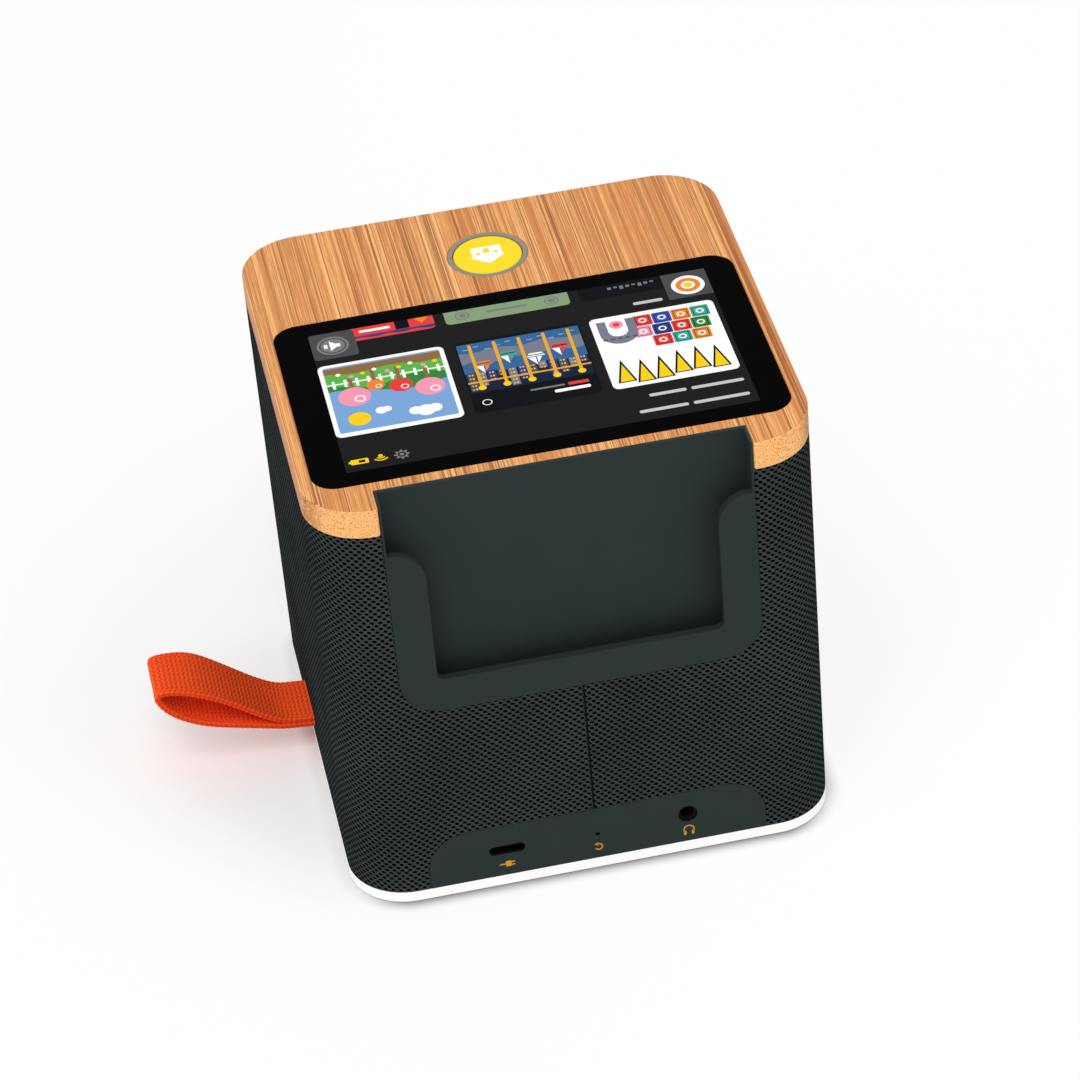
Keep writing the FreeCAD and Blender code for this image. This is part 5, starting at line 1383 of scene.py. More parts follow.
@dataclass(frozen=True)
class Display:
    """Cover glass and the lit picture seen through it, laid out for the user at -Y."""

    width: float = 113.5
    depth: float = 69.4
    corner: float = 6.0
    centre_y: float = 14.7
    under: float = 116.9
    top: float = 118.0
    edge: float = 0.25
    lifted: float = 0.01
    panel: tuple[float, float, float, float] = (-49.4, -14.5, 48.4, 44.1)
    tile: float = 30.5
    tile_x: tuple[float, float, float] = (17.9, -15.25, -48.2)
    tile_y: float = -0.7

    def build(self, wardrobe: Wardrobe) -> None:
        """Makes the glass and the picture.

        Args:
            wardrobe: the materials.
        """
        loop = rectangle(self.width, self.depth, self.corner, (0.0, self.centre_y), 5.0)
        glass = Shell()
        glass.plate(loop, [(0.0, self.under)] + edge_rows(self.top, 1, self.edge), on_top)
        glass.piece("cover_glass_sheet", PLAYER, "cover_glass", wardrobe.made["cover_glass"],
                    replaces=["touch_glass"])

        picture = Picture(self.top + self.lifted)
        picture.box(*self.panel, Hue.GROUND)
        for draw, x in zip((self.meadow, self.harbour, self.blocks), self.tile_x):
            draw(picture, x, self.tile_y)
        self.lower_row(picture)
        self.status(picture)
        picture.sheet().piece("display_picture", PLAYER, "display", Screen("lit_picture").material(),
                              join=0.0, closed=False)

    def meadow(self, picture: Picture, x: float, y: float) -> None:
        """Tile with a white border: sky, sun, hills, a fence and round trees over flowers.

        Args:
            picture: the picture that it joins.
            x, y: the tile's lower left corner.
        """
        size = self.tile
        picture.box(x, y, x + size, y + size, Hue.WHITE, 1.6)
        left, low, right, high = x + 1.1, y + 1.1, x + size - 1.1, y + size - 1.6
        picture.box(left, low, right, high, Hue.SKY, 0.7)
        picture.disc(right - 5.4, high - 4.8, 2.7, Hue.YELLOW)
        for dx, dy, r in ((5.0, -4.2, 1.7), (7.2, -3.8, 2.2), (9.6, -4.3, 1.6), (16.0, -7.0, 1.1),
                          (17.4, -6.8, 1.4)):
            picture.disc(left + dx, high + dy, r, Hue.WHITE)
        picture.hill(left, right, low + 1.0, low + 12.0, 1.8, 0.8, Hue.LEAF)
        picture.hill(left, right, low + 1.0, low + 9.2, -1.3, 1.2, Hue.GRASS)
        for k in range(10):
            post = left + 1.4 + 2.8 * k
            picture.box(post - 0.35, low + 6.0, post + 0.35, low + 9.0 + 0.3 * (k % 2), Hue.WHITE, 0.15)
        picture.box(left, low + 7.2, right, low + 7.7, Hue.WHITE)
        picture.hill(left, right, low + 0.6, low + 3.4, 0.6, 1.7, Hue.SOIL)
        for dx, dy, r, hue in ((4.6, 14.6, 3.6, Hue.PINK), (11.2, 12.0, 2.8, Hue.RED),
                               (22.6, 13.6, 3.9, Hue.PINK), (17.0, 10.2, 2.2, Hue.ORANGE)):
            a, b = left + dx, low + dy
            picture.box(a - 0.5, b - 8.0, a + 0.5, b, Hue.SOIL)
            picture.disc(a, b, r, hue)
            for share, colour in ((0.35, Hue.WHITE), (0.25, hue)):
                picture.disc(a - 0.3 * r, b + 0.3 * r, share * r, colour)
        for k in range(9):
            picture.disc(left + 1.8 + 2.9 * k, low + 4.4 + 0.9 * math.sin(2.1 * k), 0.6,
                         (Hue.YELLOW, Hue.PINK, Hue.WHITE)[k % 3])

    def harbour(self, picture: Picture, x: float, y: float) -> None:
        """Dark tile: night sea with amber posts, lamps and boats, under a dark heading.

        Args:
            picture: the picture that it joins.
            x, y: the tile's lower left corner.
        """
        size = self.tile
        picture.box(x, y, x + size, y + size, Hue.BLACK, 1.6)
        left, low, right, high = x + 0.4, y + 1.2, x + size - 0.4, y + 22.0
        picture.box(left, low, right, high, Hue.NIGHT)
        for k in range(12):
            a, tall = left + 0.4 + 2.45 * k, 3.0 + 1.7 * (k * 5 % 4)
            picture.box(a, low + 12.0, a + 2.0, low + 12.0 + tall, (Hue.NAVY, Hue.STEEL, Hue.SLATE)[k % 3])
            for row in range(int(tall / 1.5)):
                sill = low + 13.0 + 1.5 * row
                picture.box(a + 0.5, sill, a + 0.9, sill + 0.6, Hue.YELLOW)
                picture.box(a + 1.2, sill, a + 1.6, sill + 0.6, Hue.AMBER)
        picture.hill(left, right, low, low + 12.6, 0.5, 2.0, Hue.SEA)
        picture.hill(left, right, low, low + 8.6, 0.6, 3.0, Hue.STEEL)
        picture.hill(left, right, low, low + 3.6, 0.5, 2.5, Hue.SEA)
        for k in range(11):
            a, b = left + 1.2 + 2.6 * k, low + 1.4 + 0.8 * (k % 3)
            picture.box(a, b, a + 1.3, b + 0.4, Hue.SKY)
        for dx, dy, hue in ((5.8, 7.6, Hue.RED), (12.0, 9.8, Hue.WHITE), (18.2, 7.2, Hue.TEAL),
                            (24.6, 9.6, Hue.ORANGE)):
            a, b = left + dx, low + dy
            for wide, narrow, upper, lower, colour in ((2.2, 1.5, 0.0, 1.5, hue),
                                                       (1.9, 1.75, 0.45, 0.8, Hue.BLACK)):
                picture.poly([(a - wide, b - upper), (a + wide, b - upper), (a + narrow, b - lower),
                              (a - narrow, b - lower)], colour)
            picture.poly([(a + 0.2, b + 0.3), (a + 2.0, b + 0.3), (a + 0.2, b + 3.6)], Hue.WHITE)
            picture.poly([(a - 0.1, b + 0.3), (a - 1.4, b + 0.3), (a - 0.1, b + 2.8)], hue)
        for k in range(5):
            post = left + 2.7 + 6.0 * k
            picture.box(post - 0.4, low + 0.6, post + 0.4, high - 2.0, Hue.AMBER)
            picture.disc(post, high - 1.8, 0.95, Hue.YELLOW)
        picture.box(left, high - 4.6, right, high - 4.0, Hue.AMBER)
        picture.box(x + 2.4, y + 26.2, x + 11.0, y + 27.4, Hue.WHITE, 0.4)
        picture.box(x + 2.4, y + 24.0, x + 7.4, y + 25.2, Hue.RED, 0.4)
        picture.box(x + 8.2, y + 24.3, x + 16.5, y + 25.0, Hue.PALE, 0.3)
        picture.disc(x + size - 3.4, y + 26.4, 1.2, Hue.WHITE, 0.95)

    def blocks(self, picture: Picture, x: float, y: float) -> None:
        """White tile: bunting over a wall of building blocks, with a grey bridge and a ball.

        Args:
            picture: the picture that it joins.
            x, y: the tile's lower left corner.
        """
        size = self.tile
        picture.box(x, y, x + size, y + size, Hue.WHITE, 1.6)
        rows = ((Hue.TEAL, Hue.ORANGE, Hue.BLUE, Hue.RED), (Hue.LEAF, Hue.RED, Hue.NAVY, Hue.PINK),
                (Hue.ORANGE, Hue.TEAL, Hue.RED))
        for j, row in enumerate(rows):
            for i, hue in enumerate(row):
                a, b = x + 1.6 + 4.7 * i + 0.8 * j, y + 1.6 + 4.7 * j
                for near, far, colour, radius in ((0.0, 4.5, hue, 0.4), (0.5, 4.0, Hue.BLACK, 0.3),
                                                  (0.7, 3.8, hue, 0.2)):
                    picture.box(a + near, b + near, a + far, b + far, colour, radius)
                picture.disc(a + 2.25, b + 2.25, 1.0, Hue.WHITE, 0.6)
        a, b = x + 24.4, y + 1.8
        bow = np.concatenate([arc(4.6, (a, b + 5.6), 180, 0, 20), [(a + 4.6, b), (a + 2.4, b)],
                              arc(2.4, (a, b + 4.6), 0, 180, 16), [(a - 2.4, b), (a - 4.6, b)]])
        picture.shape([bow], Hue.STEEL)
        for k in range(5):
            picture.box(a - 4.0 + 1.8 * k, b + 7.6, a - 2.9 + 1.8 * k, b + 8.2, Hue.SLATE)
        picture.disc(a, b + 2.0, 1.7, Hue.PINK)
        picture.disc(a, b + 2.0, 0.8, Hue.RED)
        for k in range(6):
            left, top = x + 1.6 + 4.55 * k, y + 28.4 - 0.8 * math.sin(k * 1.3)
            for border, under, point, colour in ((0.0, 0.0, 9.6, Hue.BLACK), (0.6, 0.4, 7.6, Hue.YELLOW)):
                picture.poly([(left + border, top - under), (left + 2.3, top - point),
                              (left + 4.6 - border, top - under)], colour)

    def lower_row(self, picture: Picture) -> None:
        """Upper edges of the next row of tiles, and the two corner buttons over them.

        Args:
            picture: the picture that it joins.
        """
        low = self.panel[1]
        for left, right, hue in ((17.9, 47.0, Hue.RED), (-15.3, 15.3, Hue.SAGE), (-48.0, -17.8, Hue.BLACK)):
            corners = [(left, low), (right, low), (right, -9.0), (left, -9.0)]
            picture.shape([rounded_polygon(corners, [0, 0, 1.3, 1.3], 15.0)], hue)
        picture.hill(17.9, 37.6, -10.9, -9.9, 0.25, 3.0, Hue.NAVY)
        picture.box(24.0, low, 27.4, -11.0, Hue.BLACK)
        picture.box(28.6, -13.2, 36.2, -12.2, Hue.WHITE)
        picture.poly([(19.0, low), (22.6, low), (20.8, -12.0)], Hue.ORANGE)
        for x in (-11.0, 11.0):
            picture.disc(x, -12.0, 1.8, Hue.PALE, 1.4)
            picture.disc(x, -12.0, 0.9, Hue.PALE)
        picture.box(-5.0, -12.4, 5.0, -11.6, Hue.PALE, 0.3)
        for k in range(8):
            picture.box(-36.4 + 1.5 * k, -13.2, -35.5 + 1.5 * k, -12.6 + 0.4 * (k % 3), Hue.PALE)
        picture.box(37.5, low, 48.4, -3.4, Hue.PANEL, 1.0)
        picture.disc(43.2, -8.8, 3.9, Hue.PALE)
        picture.disc(43.2, -8.8, 3.3, Hue.PANEL, 2.9)
        picture.poly([(41.4, -9.5), (42.4, -9.5), (43.9, -10.9), (43.9, -6.7), (42.4, -8.1), (41.4, -8.1)],
                     Hue.WHITE)
        picture.box(44.5, -9.6, 45.3, -8.0, Hue.WHITE)
        picture.box(-49.4, low, -38.4, -3.4, Hue.PANEL)
        picture.disc(-44.1, -8.6, 4.1, Hue.WHITE)
        picture.disc(-44.1, -8.6, 3.0, Hue.ORANGE, 1.7)
        picture.disc(-44.1, -8.6, 1.1, Hue.YELLOW)

    def status(self, picture: Picture) -> None:
        """Plain bars where headings stand, and the battery, radio and settings signs.

        Args:
            picture: the picture that it joins.
        """
        for left, right, low in ((-47.8, -34.4, 39.8), (-33.2, -21.5, 39.8), (-47.8, -35.2, 33.8),
                                 (-34.0, -25.1, 33.8), (-36.9, -29.6, -5.0)):
            picture.box(left, low, right, low + 1.2, Hue.SILVER, 0.5)
        picture.box(42.6, 39.4, 46.8, 41.4, Hue.YELLOW, 0.3)
        picture.box(46.8, 40.0, 47.3, 40.8, Hue.YELLOW)
        picture.box(43.4, 39.9, 44.9, 40.9, Hue.GROUND)
        picture.disc(39.7, 39.5, 0.55, Hue.YELLOW)
        centre = (39.7, 39.3)
        for radius in (1.35, 2.2):
            bow = np.concatenate([arc(radius, centre, 40, 140, 14), arc(radius - 0.4, centre, 140, 40, 14)])
            picture.shape([bow], Hue.YELLOW)
        angle = np.linspace(0, 2 * math.pi, 65)[:-1]
        radius = 1.55 + 0.3 * np.clip(3 * np.cos(8 * angle), -1, 1)
        gear = np.stack([34.8 + radius * np.cos(angle), 40.4 + radius * np.sin(angle)], 1)
        picture.shape([gear, circle(1.0, (34.8, 40.4), 24)], Hue.PALE)
        picture.disc(34.8, 40.4, 0.55, Hue.PALE)


# ------------------------------------------------------------------ body
@dataclass(frozen=True)
class Sleeve:
    """Knitted cover: one cloth round the body, joined by a seam behind, cut out for the pocket, the port
    plate and the hand loop."""

    width: float = 120.0
    depth: float = 120.5
    corner: float = 15.0
    low: float = 3.2
    high: float = 110.4
    seam_x: float = 0.3
    pocket_half: float = 43.7
    pocket_low: float = 57.0
    plate_half: float = 41.8
    plate_high: float = 18.6
    cut_r: float = 10.0
    slot: tuple[float, float, float, float] = (-20.3, -3.7, 7.6, 11.4)
    slot_r: float = 0.8
    thickness: float = 1.0
    gap: float = 0.44
    grid: tuple[float, float] = (1.6, 6.0)

    def track(self) -> tuple[np.ndarray, np.ndarray, np.ndarray]:
        """The body's plan as a track from the seam and round to it again.

        Returns:
            Distances along the track, its points, and the outward normals there.
        """
        x, y, r = self.width / 2, self.depth / 2, self.corner
        turns = [((x - r, y - r), 90, 0), ((x - r, r - y), 0, -90), ((r - x, r - y), -90, -180),
                 ((r - x, y - r), 180, 90)]
        points, normals = [np.array([[self.seam_x, y]])], [np.array([[0.0, 1.0]])]
        for centre, start, end in turns:
            points.append(arc(r, centre, start, end, 41))
            normals.append(arc(1.0, (0, 0), start, end, 41))
        points.append(np.array([[self.seam_x, y]]))
        normals.append(np.array([[0.0, 1.0]]))
        way = np.concatenate(points)
        return distances(way), way, np.concatenate(normals)

    def placer(self) -> Placer:
        """Carries cloth points (way along, height) into space: the track's point there, moved inwards along
        the track's normal by the depth.

        Returns:
            The function that carries them.
        """
        gone, way, normal = self.track()

        def place(flat: np.ndarray, depth: float) -> np.ndarray:
            """Cloth points in space.

            Args:
                flat: the points on the cloth.
                depth: how far they lie under the outside.

            Returns:
                The points in x, y and z.
            """
            x, y, nx, ny = (np.interp(flat[:, 0], gone, column)
                            for column in (way[:, 0], way[:, 1], normal[:, 0], normal[:, 1]))
            return np.column_stack([x - nx * depth, y - ny * depth, flat[:, 1]])
        return place

    def cloth(self) -> list[np.ndarray]:
        """Cut of the cloth, in way along and height.

        Returns:
            Its outline and the hole for the hand loop.
        """
        gone, way, _ = self.track()
        total = gone[-1]
        near, far = self.gap / 2, total - self.gap / 2
        pocket_a, pocket_b = self.pocket_half - self.seam_x, total - self.pocket_half - self.seam_x
        plate_a, plate_b = self.plate_half - self.seam_x, total - self.plate_half - self.seam_x
        corners = [(near, self.plate_high), (plate_a, self.plate_high), (plate_a, self.low),
                   (plate_b, self.low), (plate_b, self.plate_high), (far, self.plate_high),
                   (far, self.pocket_low), (pocket_b, self.pocket_low), (pocket_b, self.high),
                   (pocket_a, self.high), (pocket_a, self.pocket_low), (near, self.pocket_low)]
        r = self.cut_r
        outline = rounded_polygon(corners, [0.2, r, 0.2, 0.2, r, 0.2, 0.2, r, 0.2, 0.2, r, 0.2], 7.5)
        bend = self.depth / 2 - self.corner
        side = gone[np.argmin(np.abs(way - [self.width / 2, bend]).sum(1))]
        y0, y1, z0, z1 = self.slot
        near, far = (side + bend - y for y in (y1, y0))
        hole = rectangle(far - near, z1 - z0, self.slot_r, ((near + far) / 2, (z0 + z1) / 2), 18.0)
        return [divided(loop, self.grid[0]) for loop in (outline, hole)]

    def build(self, wardrobe: Wardrobe) -> None:
        """Lays the cloth on the track, turns its edges in, and gives it an inner side.

        Args:
            wardrobe: the materials.
        """
        shell = Shell()
        place = self.placer()
        loops = self.cloth()
        roll = [(0.0, self.thickness), (0.0, 0.3), (0.03, 0.12), (0.1, 0.03), (0.2, 0.0), (0.45, 0.0)]
        for loop, sign in zip(loops, (1, -1)):
            rows = [inset(loop, sign * distance) for distance, _ in roll]
            shell.band(np.stack([place(row, depth) for row, (_, depth) in zip(rows, roll)]),
                       mark=np.stack([self.marks(row) for row in rows]))
        edges = [inset(loop, sign * roll[-1][0]) for loop, sign in zip(loops, (1, -1))]
        inner = self.inner_points(edges)
        shell.flat(edges, place, 0.0, inner, self.marks)
        shell.flat(loops, place, self.thickness, inner, self.marks)
        made = shell.piece("fabric_cover", PLAYER, "knit_fabric", wardrobe.made["knit_fabric"],
                           replaces=["fabric_sleeve"], angle=60.0)
        total, tall = self.track()[0][-1], self.high - self.low
        outline, hole = loops
        area = self.area(outline) - self.area(hole)

    @staticmethod
    def area(loop: np.ndarray) -> float:
        """Area of an outline: half the sum of the cross products of its points."""
        x, y = loop.T
        return 0.5 * abs(float(np.sum(x * np.roll(y, -1) - np.roll(x, -1) * y)))

    @staticmethod
    def marks(flat: np.ndarray) -> np.ndarray:
        """Cloth millimetres as marks."""
        return np.column_stack([flat, np.zeros(len(flat))])

    def inner_points(self, loops: list[np.ndarray]) -> np.ndarray:
        """Grid of points well inside the cloth, so that it follows the corners.

        Args:
            loops: the cloth's outlines.

        Returns:
            The points, in way along and height.
        """
        along = np.arange(1.0, self.track()[0][-1], self.grid[0])
        up = np.arange(self.low + 3.0, self.high - 2.0, self.grid[1])
        grid = np.stack(np.meshgrid(along, up), -1).reshape(-1, 2)
        near = np.concatenate(loops)
        clear = np.array([np.min(np.abs(near - point).max(1)) > 1.2 for point in grid])
        return grid[clear & inside(grid, loops)]


@dataclass(frozen=True)
class CardPocket:
    """Open-topped holder: back, sides and floor, with a lip along both sides and below."""

    half: float = 43.7
    low: float = 57.0
    top: float = 118.0
    corner: float = 10.0
    back: float = 52.65
    tray: float = 53.65
    lip_back: float = 58.05
    face: float = 60.25
    side: float = 0.65
    floor: float = 62.4
    floor_r: float = 3.0
    lip_half: float = 34.5
    lip_low: float = 66.1
    lip_top: float = 103.9
    lip_r: float = 2.0
    lip_top_r: float = 8.0
    edge: float = 0.26

    def build(self, wardrobe: Wardrobe) -> None:
        """Closes the holder from flat regions at four depths and the walls between them.

        Args:
            wardrobe: the materials.
        """
        shell = Shell()
        h, s, t, v = self.half, self.half - self.side, self.top, self.lip_half
        outer = rounded_polygon([(h, t), (-h, t), (-h, self.low), (h, self.low)],
                                [0, 0, self.corner, self.corner], 5.0)
        space = rounded_polygon([(s, t), (-s, t), (-s, self.floor), (s, self.floor)],
                                [0, 0, self.floor_r, self.floor_r], 9.0)
        mouth = rounded_polygon([(s, t), (-s, t), (-s, self.lip_top), (-v, self.lip_top), (-v, self.lip_low),
                                 (v, self.lip_low), (v, self.lip_top), (s, self.lip_top)],
                                [0, 0, 0.3, self.lip_top_r, self.lip_r, self.lip_r, self.lip_top_r, 0.3], 6.0)
        front = np.concatenate([outer[1:], outer[:1], mouth[:1], mouth[:0:-1]])
        rim = edge_rows(self.face, 1, self.edge, 4, 0.04, 0.0)
        start = self.face - self.edge
        shell.walls(front, rim, on_rear)
        shell.flat([inset(front, rim[-1][0])], on_rear, self.face)
        for loop, near, far in ((outer, self.back, start), (space, self.tray, self.lip_back),
                                (mouth, self.lip_back, start)):
            path = np.concatenate([loop[1:], loop[:1]])
            shell.band(np.stack([on_rear(path, near), on_rear(path, far)]), closed=False)
        shell.flat([outer], on_rear, self.back)
        shell.flat([space], on_rear, self.tray)
        shell.flat([self.between(space, mouth)], on_rear, self.lip_back)
        for x0, x1, y0, y1 in ((-h, h, self.back, self.tray), (-h, -s, self.tray, start),
                               (s, h, self.tray, start)):
            corners = np.array([(x0, y0, t), (x1, y0, t), (x1, y1, t), (x0, y1, t)])
            shell.add(corners, [[0, 1, 2, 3]])
        shell.piece("card_pocket", PLAYER, "dark_plastic", wardrobe.made["dark_plastic"],
                    replaces=["card_holder"])

    @staticmethod
    def between(space: np.ndarray, mouth: np.ndarray) -> np.ndarray:
        """Outline of the lips' inner side: the pocket's sides and floor, and back along the mouth."""
        return np.concatenate([space[2:], mouth[-1:], mouth[-2:1:-1]])


@dataclass(frozen=True)
class PortPlate:
    """Flush plate with the charging slot, the pinhole and the headphone opening, and its printed signs."""

    half: float = 41.8
    low: float = 3.2
    high: float = 18.6
    corner: float = 10.0
    face: float = 60.25
    skin: float = 59.25
    back: float = 57.05
    step: float = 4.0
    usb: tuple[float, float] = (22.4, 11.18)
    usb_slot: tuple[float, float, float] = (8.9, 2.7, 1.34)
    usb_well: tuple[float, float, float] = (9.24, 3.46, 1.72)
    jack: tuple[float, float] = (-22.5, 11.7)
    jack_r: float = 2.4
    jack_well: float = 2.95
    pin: tuple[float, float] = (0.0, 10.7)
    pin_r: float = 0.55
    pin_well: tuple[float, float, float] = (4.8, 2.5, 0.1)
    lip: tuple[float, float, float] = (0.2, 0.1, 0.03)
    sign_z: float = 6.7
    ink: tuple[float, float] = (-0.01, 0.02)

    def outline(self, border: float = 0.0) -> np.ndarray:
        """Plate's outline in x and z.

        Args:
            border: how far it lies inside the plate's edge at the sides and above.

        Returns:
            The outline.
        """
        h, top = self.half - border, self.high - border
        corners = [(-h, self.low), (h, self.low), (h, top), (-h, top)]
        return rounded_polygon(corners, [0, 0, self.corner, self.corner], 6.0)

    def build(self, wardrobe: Wardrobe) -> None:
        """Closes the plate round its three openings, which widen behind the skin.

        Args:
            wardrobe: the materials.
        """
        shell = Shell()
        outer, middle = self.outline(), self.outline(self.step)
        holes = [rectangle(*self.usb_slot, self.usb, 9.0), circle(self.jack_r, self.jack, 48),
                 circle(self.pin_r, self.pin, 24)]
        wells = [rectangle(*self.usb_well, self.usb, 9.0), circle(self.jack_well, self.jack, 48),
                 rectangle(*self.pin_well, self.pin, 45.0)]
        rim = edge_rows(self.face, 1, 0.12, 3, 0.2, 0.1)
        shell.walls(outer, [(0.0, self.skin)] + rim, on_rear)
        lip = lip_rows(self.face, *self.lip)
        mouths = []
        for hole, well in zip(holes, wells):
            shell.walls(hole, lip, on_rear)
            # Painted shade: the openings' walls behind the softened lip take the black moulding, darker than
            # the plate's own colour, to stand for the shade inside them.
            shell.paint = 1
            shell.walls(hole, [lip[-1], (0.0, self.skin)], on_rear)
            shell.paint = 0
            shell.wall(well, self.skin, self.back, on_rear)
            shell.flat([well, hole], on_rear, self.skin)
            mouths.append(inset(hole, lip[0][0]))
        shell.flat([inset(outer, rim[-1][0])] + mouths, on_rear, self.face)
        shell.wall(middle, self.skin, self.back, on_rear)
        shell.flat([outer, middle], on_rear, self.skin)
        shell.flat([middle] + wells, on_rear, self.back)
        shell.piece("socket_plate", PLAYER, "dark_plastic", wardrobe.made["dark_plastic"],
                    wardrobe.made["black_plastic"], replaces=["port_plate"])
        self.signs(wardrobe)

    def signs(self, wardrobe: Wardrobe) -> None:
        """Printed signs: a plug under the charging slot, a turning arrow under the pinhole and headphones
        under their opening. Seen from behind, x runs to the left, so each is drawn mirrored.

        Args:
            wardrobe: the materials.
        """
        loops: list[list[np.ndarray]] = []
        x, z = self.usb[0], self.sign_z
        loops.append([rectangle(1.5, 1.7, 0.3, (x, z), 30.0)])
        loops += [[rectangle(0.9, 0.35, 0.1, (x - 1.1, z + dz), 30.0)] for dz in (-0.45, 0.45)]
        loops.append([rectangle(1.6, 0.35, 0.1, (x + 1.4, z), 30.0)])
        x = self.pin[0]
        loops.append([np.concatenate([arc(1.05, (x, z), 60, 330, 24), arc(0.72, (x, z), 330, 60, 24)])])
        loops.append([np.array([(x + 0.15, z + 1.35), (x + 0.15, z + 0.25), (x + 1.05, z + 0.95)])])
        x = self.jack[0]
        bow = (x, z + 0.1)
        loops.append([np.concatenate([arc(1.4, bow, 0, 180, 20), arc(1.08, bow, 180, 0, 20)])])
        for side in (-1, 1):
            loops.append([rectangle(0.32, 0.9, 0.05, (x + side * 1.24, z - 0.3), 45.0)])
            loops.append([rectangle(0.62, 1.25, 0.2, (x + side * 0.98, z - 0.85), 30.0)])
        shell = Shell()
        low, high = (self.face + level for level in self.ink)
        for loop in loops:
            shell.wall(loop[0], low, high, on_rear)
            shell.flat(loop, on_rear, high)
            shell.flat(loop, on_rear, low)
        print_ink = Moulded("amber_print", srgb(206, 150, 20), 0.5, 0.05, 0.2, 0.004, specular=0.15)
        shell.piece("port_signs", PLAYER, "yellow_plastic", print_ink.material(), join=0.0)


@dataclass(frozen=True)
class BaseCover:
    """White base plate with its rim, the pad's recess and the screws' seats."""

    width: float = 120.0
    depth: float = 120.5
    corner: float = 15.0
    low: float = 0.2
    high: float = 3.2
    pad: float = 92.1
    pad_r: float = 10.0
    pad_top: float = 1.2
    screws: tuple[float, float] = (50.5, 50.75)
    seat: float = 3.05
    seat_z: float = 1.85
    bore: float = 1.5
    under_r: float = 0.3
    over_r: float = 0.15

    def build(self, wardrobe: Wardrobe) -> None:
        """Closes the plate from its sides, its upper face, and the underside with its recess and seats.

        Args:
            wardrobe: the materials.
        """
        shell = Shell()
        outline = rectangle(self.width, self.depth, self.corner, (0, 0), 4.0)
        under = edge_rows(self.low, -1, self.under_r)[::-1]
        over = edge_rows(self.high, 1, self.over_r, 3, 0.25, 0.2)
        shell.walls(outline, under + over, on_top)
        pad = rectangle(self.pad, self.pad, self.pad_r, (0, 0), 6.0)
        shell.wall(pad, self.low, self.pad_top, on_top)
        shell.flat([pad], on_top, self.pad_top)
        places = [(sx * self.screws[0], sy * self.screws[1]) for sx in (-1, 1) for sy in (-1, 1)]
        seats = [circle(self.seat, place, 40) for place in places]
        bores = [circle(self.bore, place, 24) for place in places]
        for seat, bore in zip(seats, bores):
            shell.wall(seat, self.low, self.seat_z, on_top)
            shell.wall(bore, self.seat_z, self.high, on_top)
            shell.flat([seat, bore], on_top, self.seat_z)
        shell.flat([inset(outline, under[0][0]), pad] + seats, on_top, self.low)
        shell.flat([inset(outline, over[-1][0])] + bores, on_top, self.high)
        shell.piece("base_plate", PLAYER, "white_plastic", wardrobe.made["white_plastic"],
                    replaces=["base_cover"])


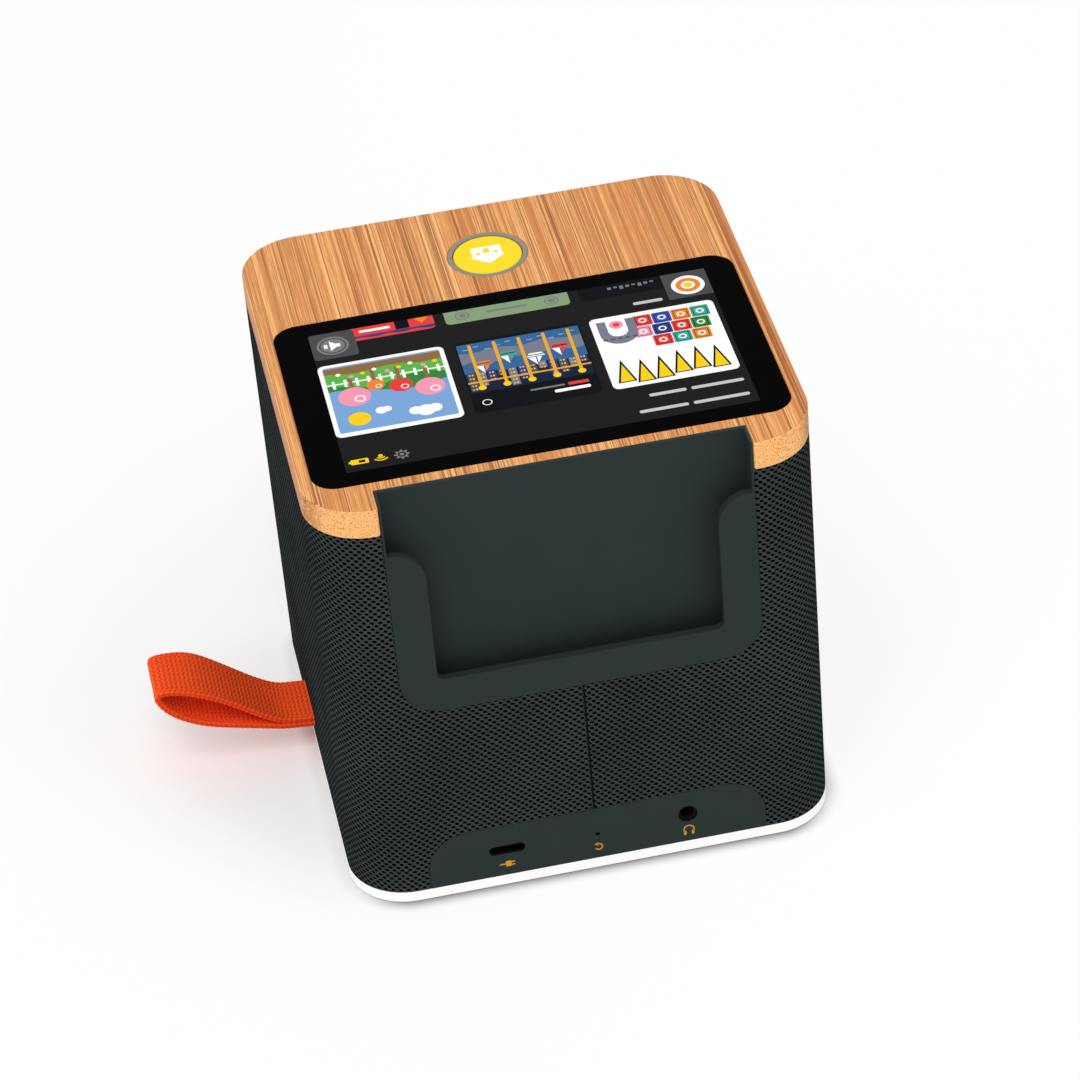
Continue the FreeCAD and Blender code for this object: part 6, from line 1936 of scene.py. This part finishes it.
# ------------------------------------------------------------------ hand loop
@dataclass(frozen=True)
class HandLoop:
    """One length of webbing: in along the base, out through the side, round and back on itself."""

    side_x: float = 60.0
    centre_y: float = -12.0
    width: float = 16.0
    ply: float = 1.6
    root_z: float = 9.5
    tail_x: float = 44.7
    split: tuple[float, float] = (7.5, 0.7)
    tip: tuple[float, float] = (38.0, 16.4)
    lower: tuple[tuple[float, float], ...] = ((12.7, 2.1), (17.7, 3.4), (22.6, 4.7), (27.5, 6.4),
                                              (32.3, 9.1), (36.0, 12.6))
    upper: tuple[tuple[float, float], ...] = ((33.8, 16.2), (29.0, 15.0), (24.2, 12.3), (19.5, 8.9),
                                              (14.9, 5.3), (11.0, 2.6))
    smoothing: float = 16.0
    reach: int = 50
    droop: float = 1.2
    droop_at: float = 28.0
    droop_reach: float = 6.5
    edge_r: float = 0.35
    flat_points: int = 70
    yarn: float = 0.88
    stitch: float = 1.15
    swing: float = 0.22
    lag: float = 0.2
    face_lag: float = 0.25
    twist: float = 1.3
    relief: float = 0.24
    selvedge: float = 1.6
    step: float = 0.2

    def route(self) -> np.ndarray:
        """Middle line of the ply: the plies' inner curves moved outwards by half a ply, joined by a small arc
        round the tip and by straight tails, then smoothed and divided evenly.

        Returns:
            Its points in x and z.
        """
        half = self.ply / 2
        curves = (spline([self.split, *self.lower, self.tip], 160),
                  spline([self.tip, *self.upper, self.split], 160))
        sides = [curve + half * to_the_right(curve) for curve in curves]
        tip = np.array(self.tip)
        first, last = sides[0][-1] - tip, sides[1][0] - tip
        start = math.atan2(first[1], first[0])
        turn = (math.atan2(last[1], last[0]) - start) % (2 * math.pi)
        angle = start + turn * np.linspace(0, 1, 20)
        fold = tip + half * np.stack([np.cos(angle), np.sin(angle)], 1)
        tail = self.tail_x - self.side_x
        line = np.concatenate([[(tail, -half)], [(0.0, -half)], sides[0], fold[1:-1], sides[1],
                               [(0.0, half)], [(tail, half)]])
        line = self.even(line, self.step / 2)
        reach = np.arange(-self.reach, self.reach + 1)
        kernel = np.exp(-0.5 * (reach / self.smoothing) ** 2)
        kernel /= kernel.sum()
        padded = np.concatenate([line[:1] + (line[1] - line[0]) * reach[reach < 0, None], line,
                                 line[-1:] + (line[-1] - line[-2]) * reach[reach > 0, None]])
        smooth = np.stack([np.convolve(padded[:, i], kernel, "valid") for i in (0, 1)], 1)
        smooth[0], smooth[-1] = line[0], line[-1]
        return self.even(smooth, self.step) + [self.side_x, self.root_z]

    @staticmethod
    def even(line: np.ndarray, step: float) -> np.ndarray:
        """Line with its points spaced evenly by their distance along it.

        Args:
            line: the line.
            step: about how far apart they shall lie.

        Returns:
            The new points.
        """
        gone = distances(line)
        want = np.linspace(0, gone[-1], max(2, round(gone[-1] / step)) + 1)
        return np.stack([np.interp(want, gone, line[:, i]) for i in (0, 1)], 1)

    def weave(self, along: np.ndarray, across: np.ndarray, face: np.ndarray) -> np.ndarray:
        """Height of the weave. Inside, yarns lie side by side, swing from side to side and rise and fall
        along the strap, each a little after its neighbour. At the selvedges two cords are twisted round each
        other.

        Args:
            along, across: places on the strap.
            face: +1 or -1 for its two faces.

        Returns:
            Heights from 0 to 1.
        """
        wander = self.swing * np.abs(np.mod(along / self.stitch, 1.0) * 2 - 1)
        yarn = (across + wander) / self.yarn
        index = np.floor(yarn)
        rib = np.sqrt(np.clip(1 - (2 * (yarn - index) - 1) ** 2, 0, 1))
        phase = along / self.stitch + self.lag * (index % 2) + self.face_lag * face
        rise = 0.5 + 0.5 * np.sin(2 * math.pi * phase)
        body = rib * (0.3 + 0.7 * rise)
        rim = self.width / 2 - self.selvedge
        lane = (np.abs(across) - rim) / self.selvedge * 2
        twist = np.abs(np.sin(math.pi * (along / self.twist + 0.4 * np.sign(across) * lane)))
        cord = np.sqrt(twist) * np.sqrt(np.clip(1 - (2 * np.mod(lane, 1.0) - 1) ** 2, 0.1, 1))
        share = np.clip(lane / 0.3, 0, 1)
        return body * (1 - share) + cord * share

    def build(self, wardrobe: Wardrobe) -> None:
        """Carries the ply's section along the route, with the weave pressed into both faces. The upper ply
        sinks to one side by a bell curve near the tip.

        Args:
            wardrobe: the materials.
        """
        line = self.route()
        normal = to_the_right(line)
        gone = distances(line)
        thick, rim = self.ply / 2, self.width / 2 - self.edge_r
        flat = np.linspace(-rim, rim, self.flat_points)
        turn = np.radians(np.linspace(-90, 90, 7))[1:-1]
        edge = rim + self.edge_r * np.cos(turn)
        across = np.concatenate([flat, edge, flat[::-1], -edge])
        out = np.concatenate([-np.ones(len(flat)), np.sin(turn), np.ones(len(flat)), -np.sin(turn)])
        face = np.sign(out)
        height = self.weave(gone[:, None], across[None], face[None])
        lift = (thick - self.relief * (1 - height)) * out[None]
        x = line[:, :1] + normal[:, :1] * lift
        z = line[:, 1:] + normal[:, 1:] * lift
        y = np.broadcast_to(self.centre_y + across[None], x.shape)
        out_x = x - self.side_x
        upper = np.linspace(0, 1, len(line))[:, None] > 0.5
        share = np.where(upper, np.exp(-((out_x - self.droop_at) / self.droop_reach) ** 2), 0.0)
        z = z - self.droop * share * across[None] / self.width
        ways = [np.broadcast_to(way, x.shape) for way in (gone[:, None], across[None])]
        marks = np.stack([*ways, height], -1)
        shell = Shell()
        rows = np.stack([x, y, z], -1)
        shell.band(rows, mark=marks)
        for row, mark in ((rows[0], marks[0]), (rows[-1], marks[-1])):
            shell.add(row, [list(range(len(row)))], mark)
        made = shell.piece("hand_loop_webbing", "", "webbing", wardrobe.made["webbing"],
                           replaces=["strap_tail", "strap_fold", "strap_loop"], angle=80.0)
        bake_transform(made)


# ------------------------------------------------------------------ everything
def main() -> None:
    """Builds the studio and every sub-assembly in order."""
    logging.basicConfig(level=logging.INFO, format="%(message)s")
    Studio().build()
    wardrobe = Wardrobe()
    wardrobe.dress_nodes(frame["nodes"])
    for part in (BambooTop(), RoundButton(), Display(), Sleeve(), CardPocket(), PortPlate(), BaseCover(),
                 HandLoop()):
        part.build(wardrobe)
        log.info("%s built", type(part).__name__)


if __name__ == "__main__":
    main()
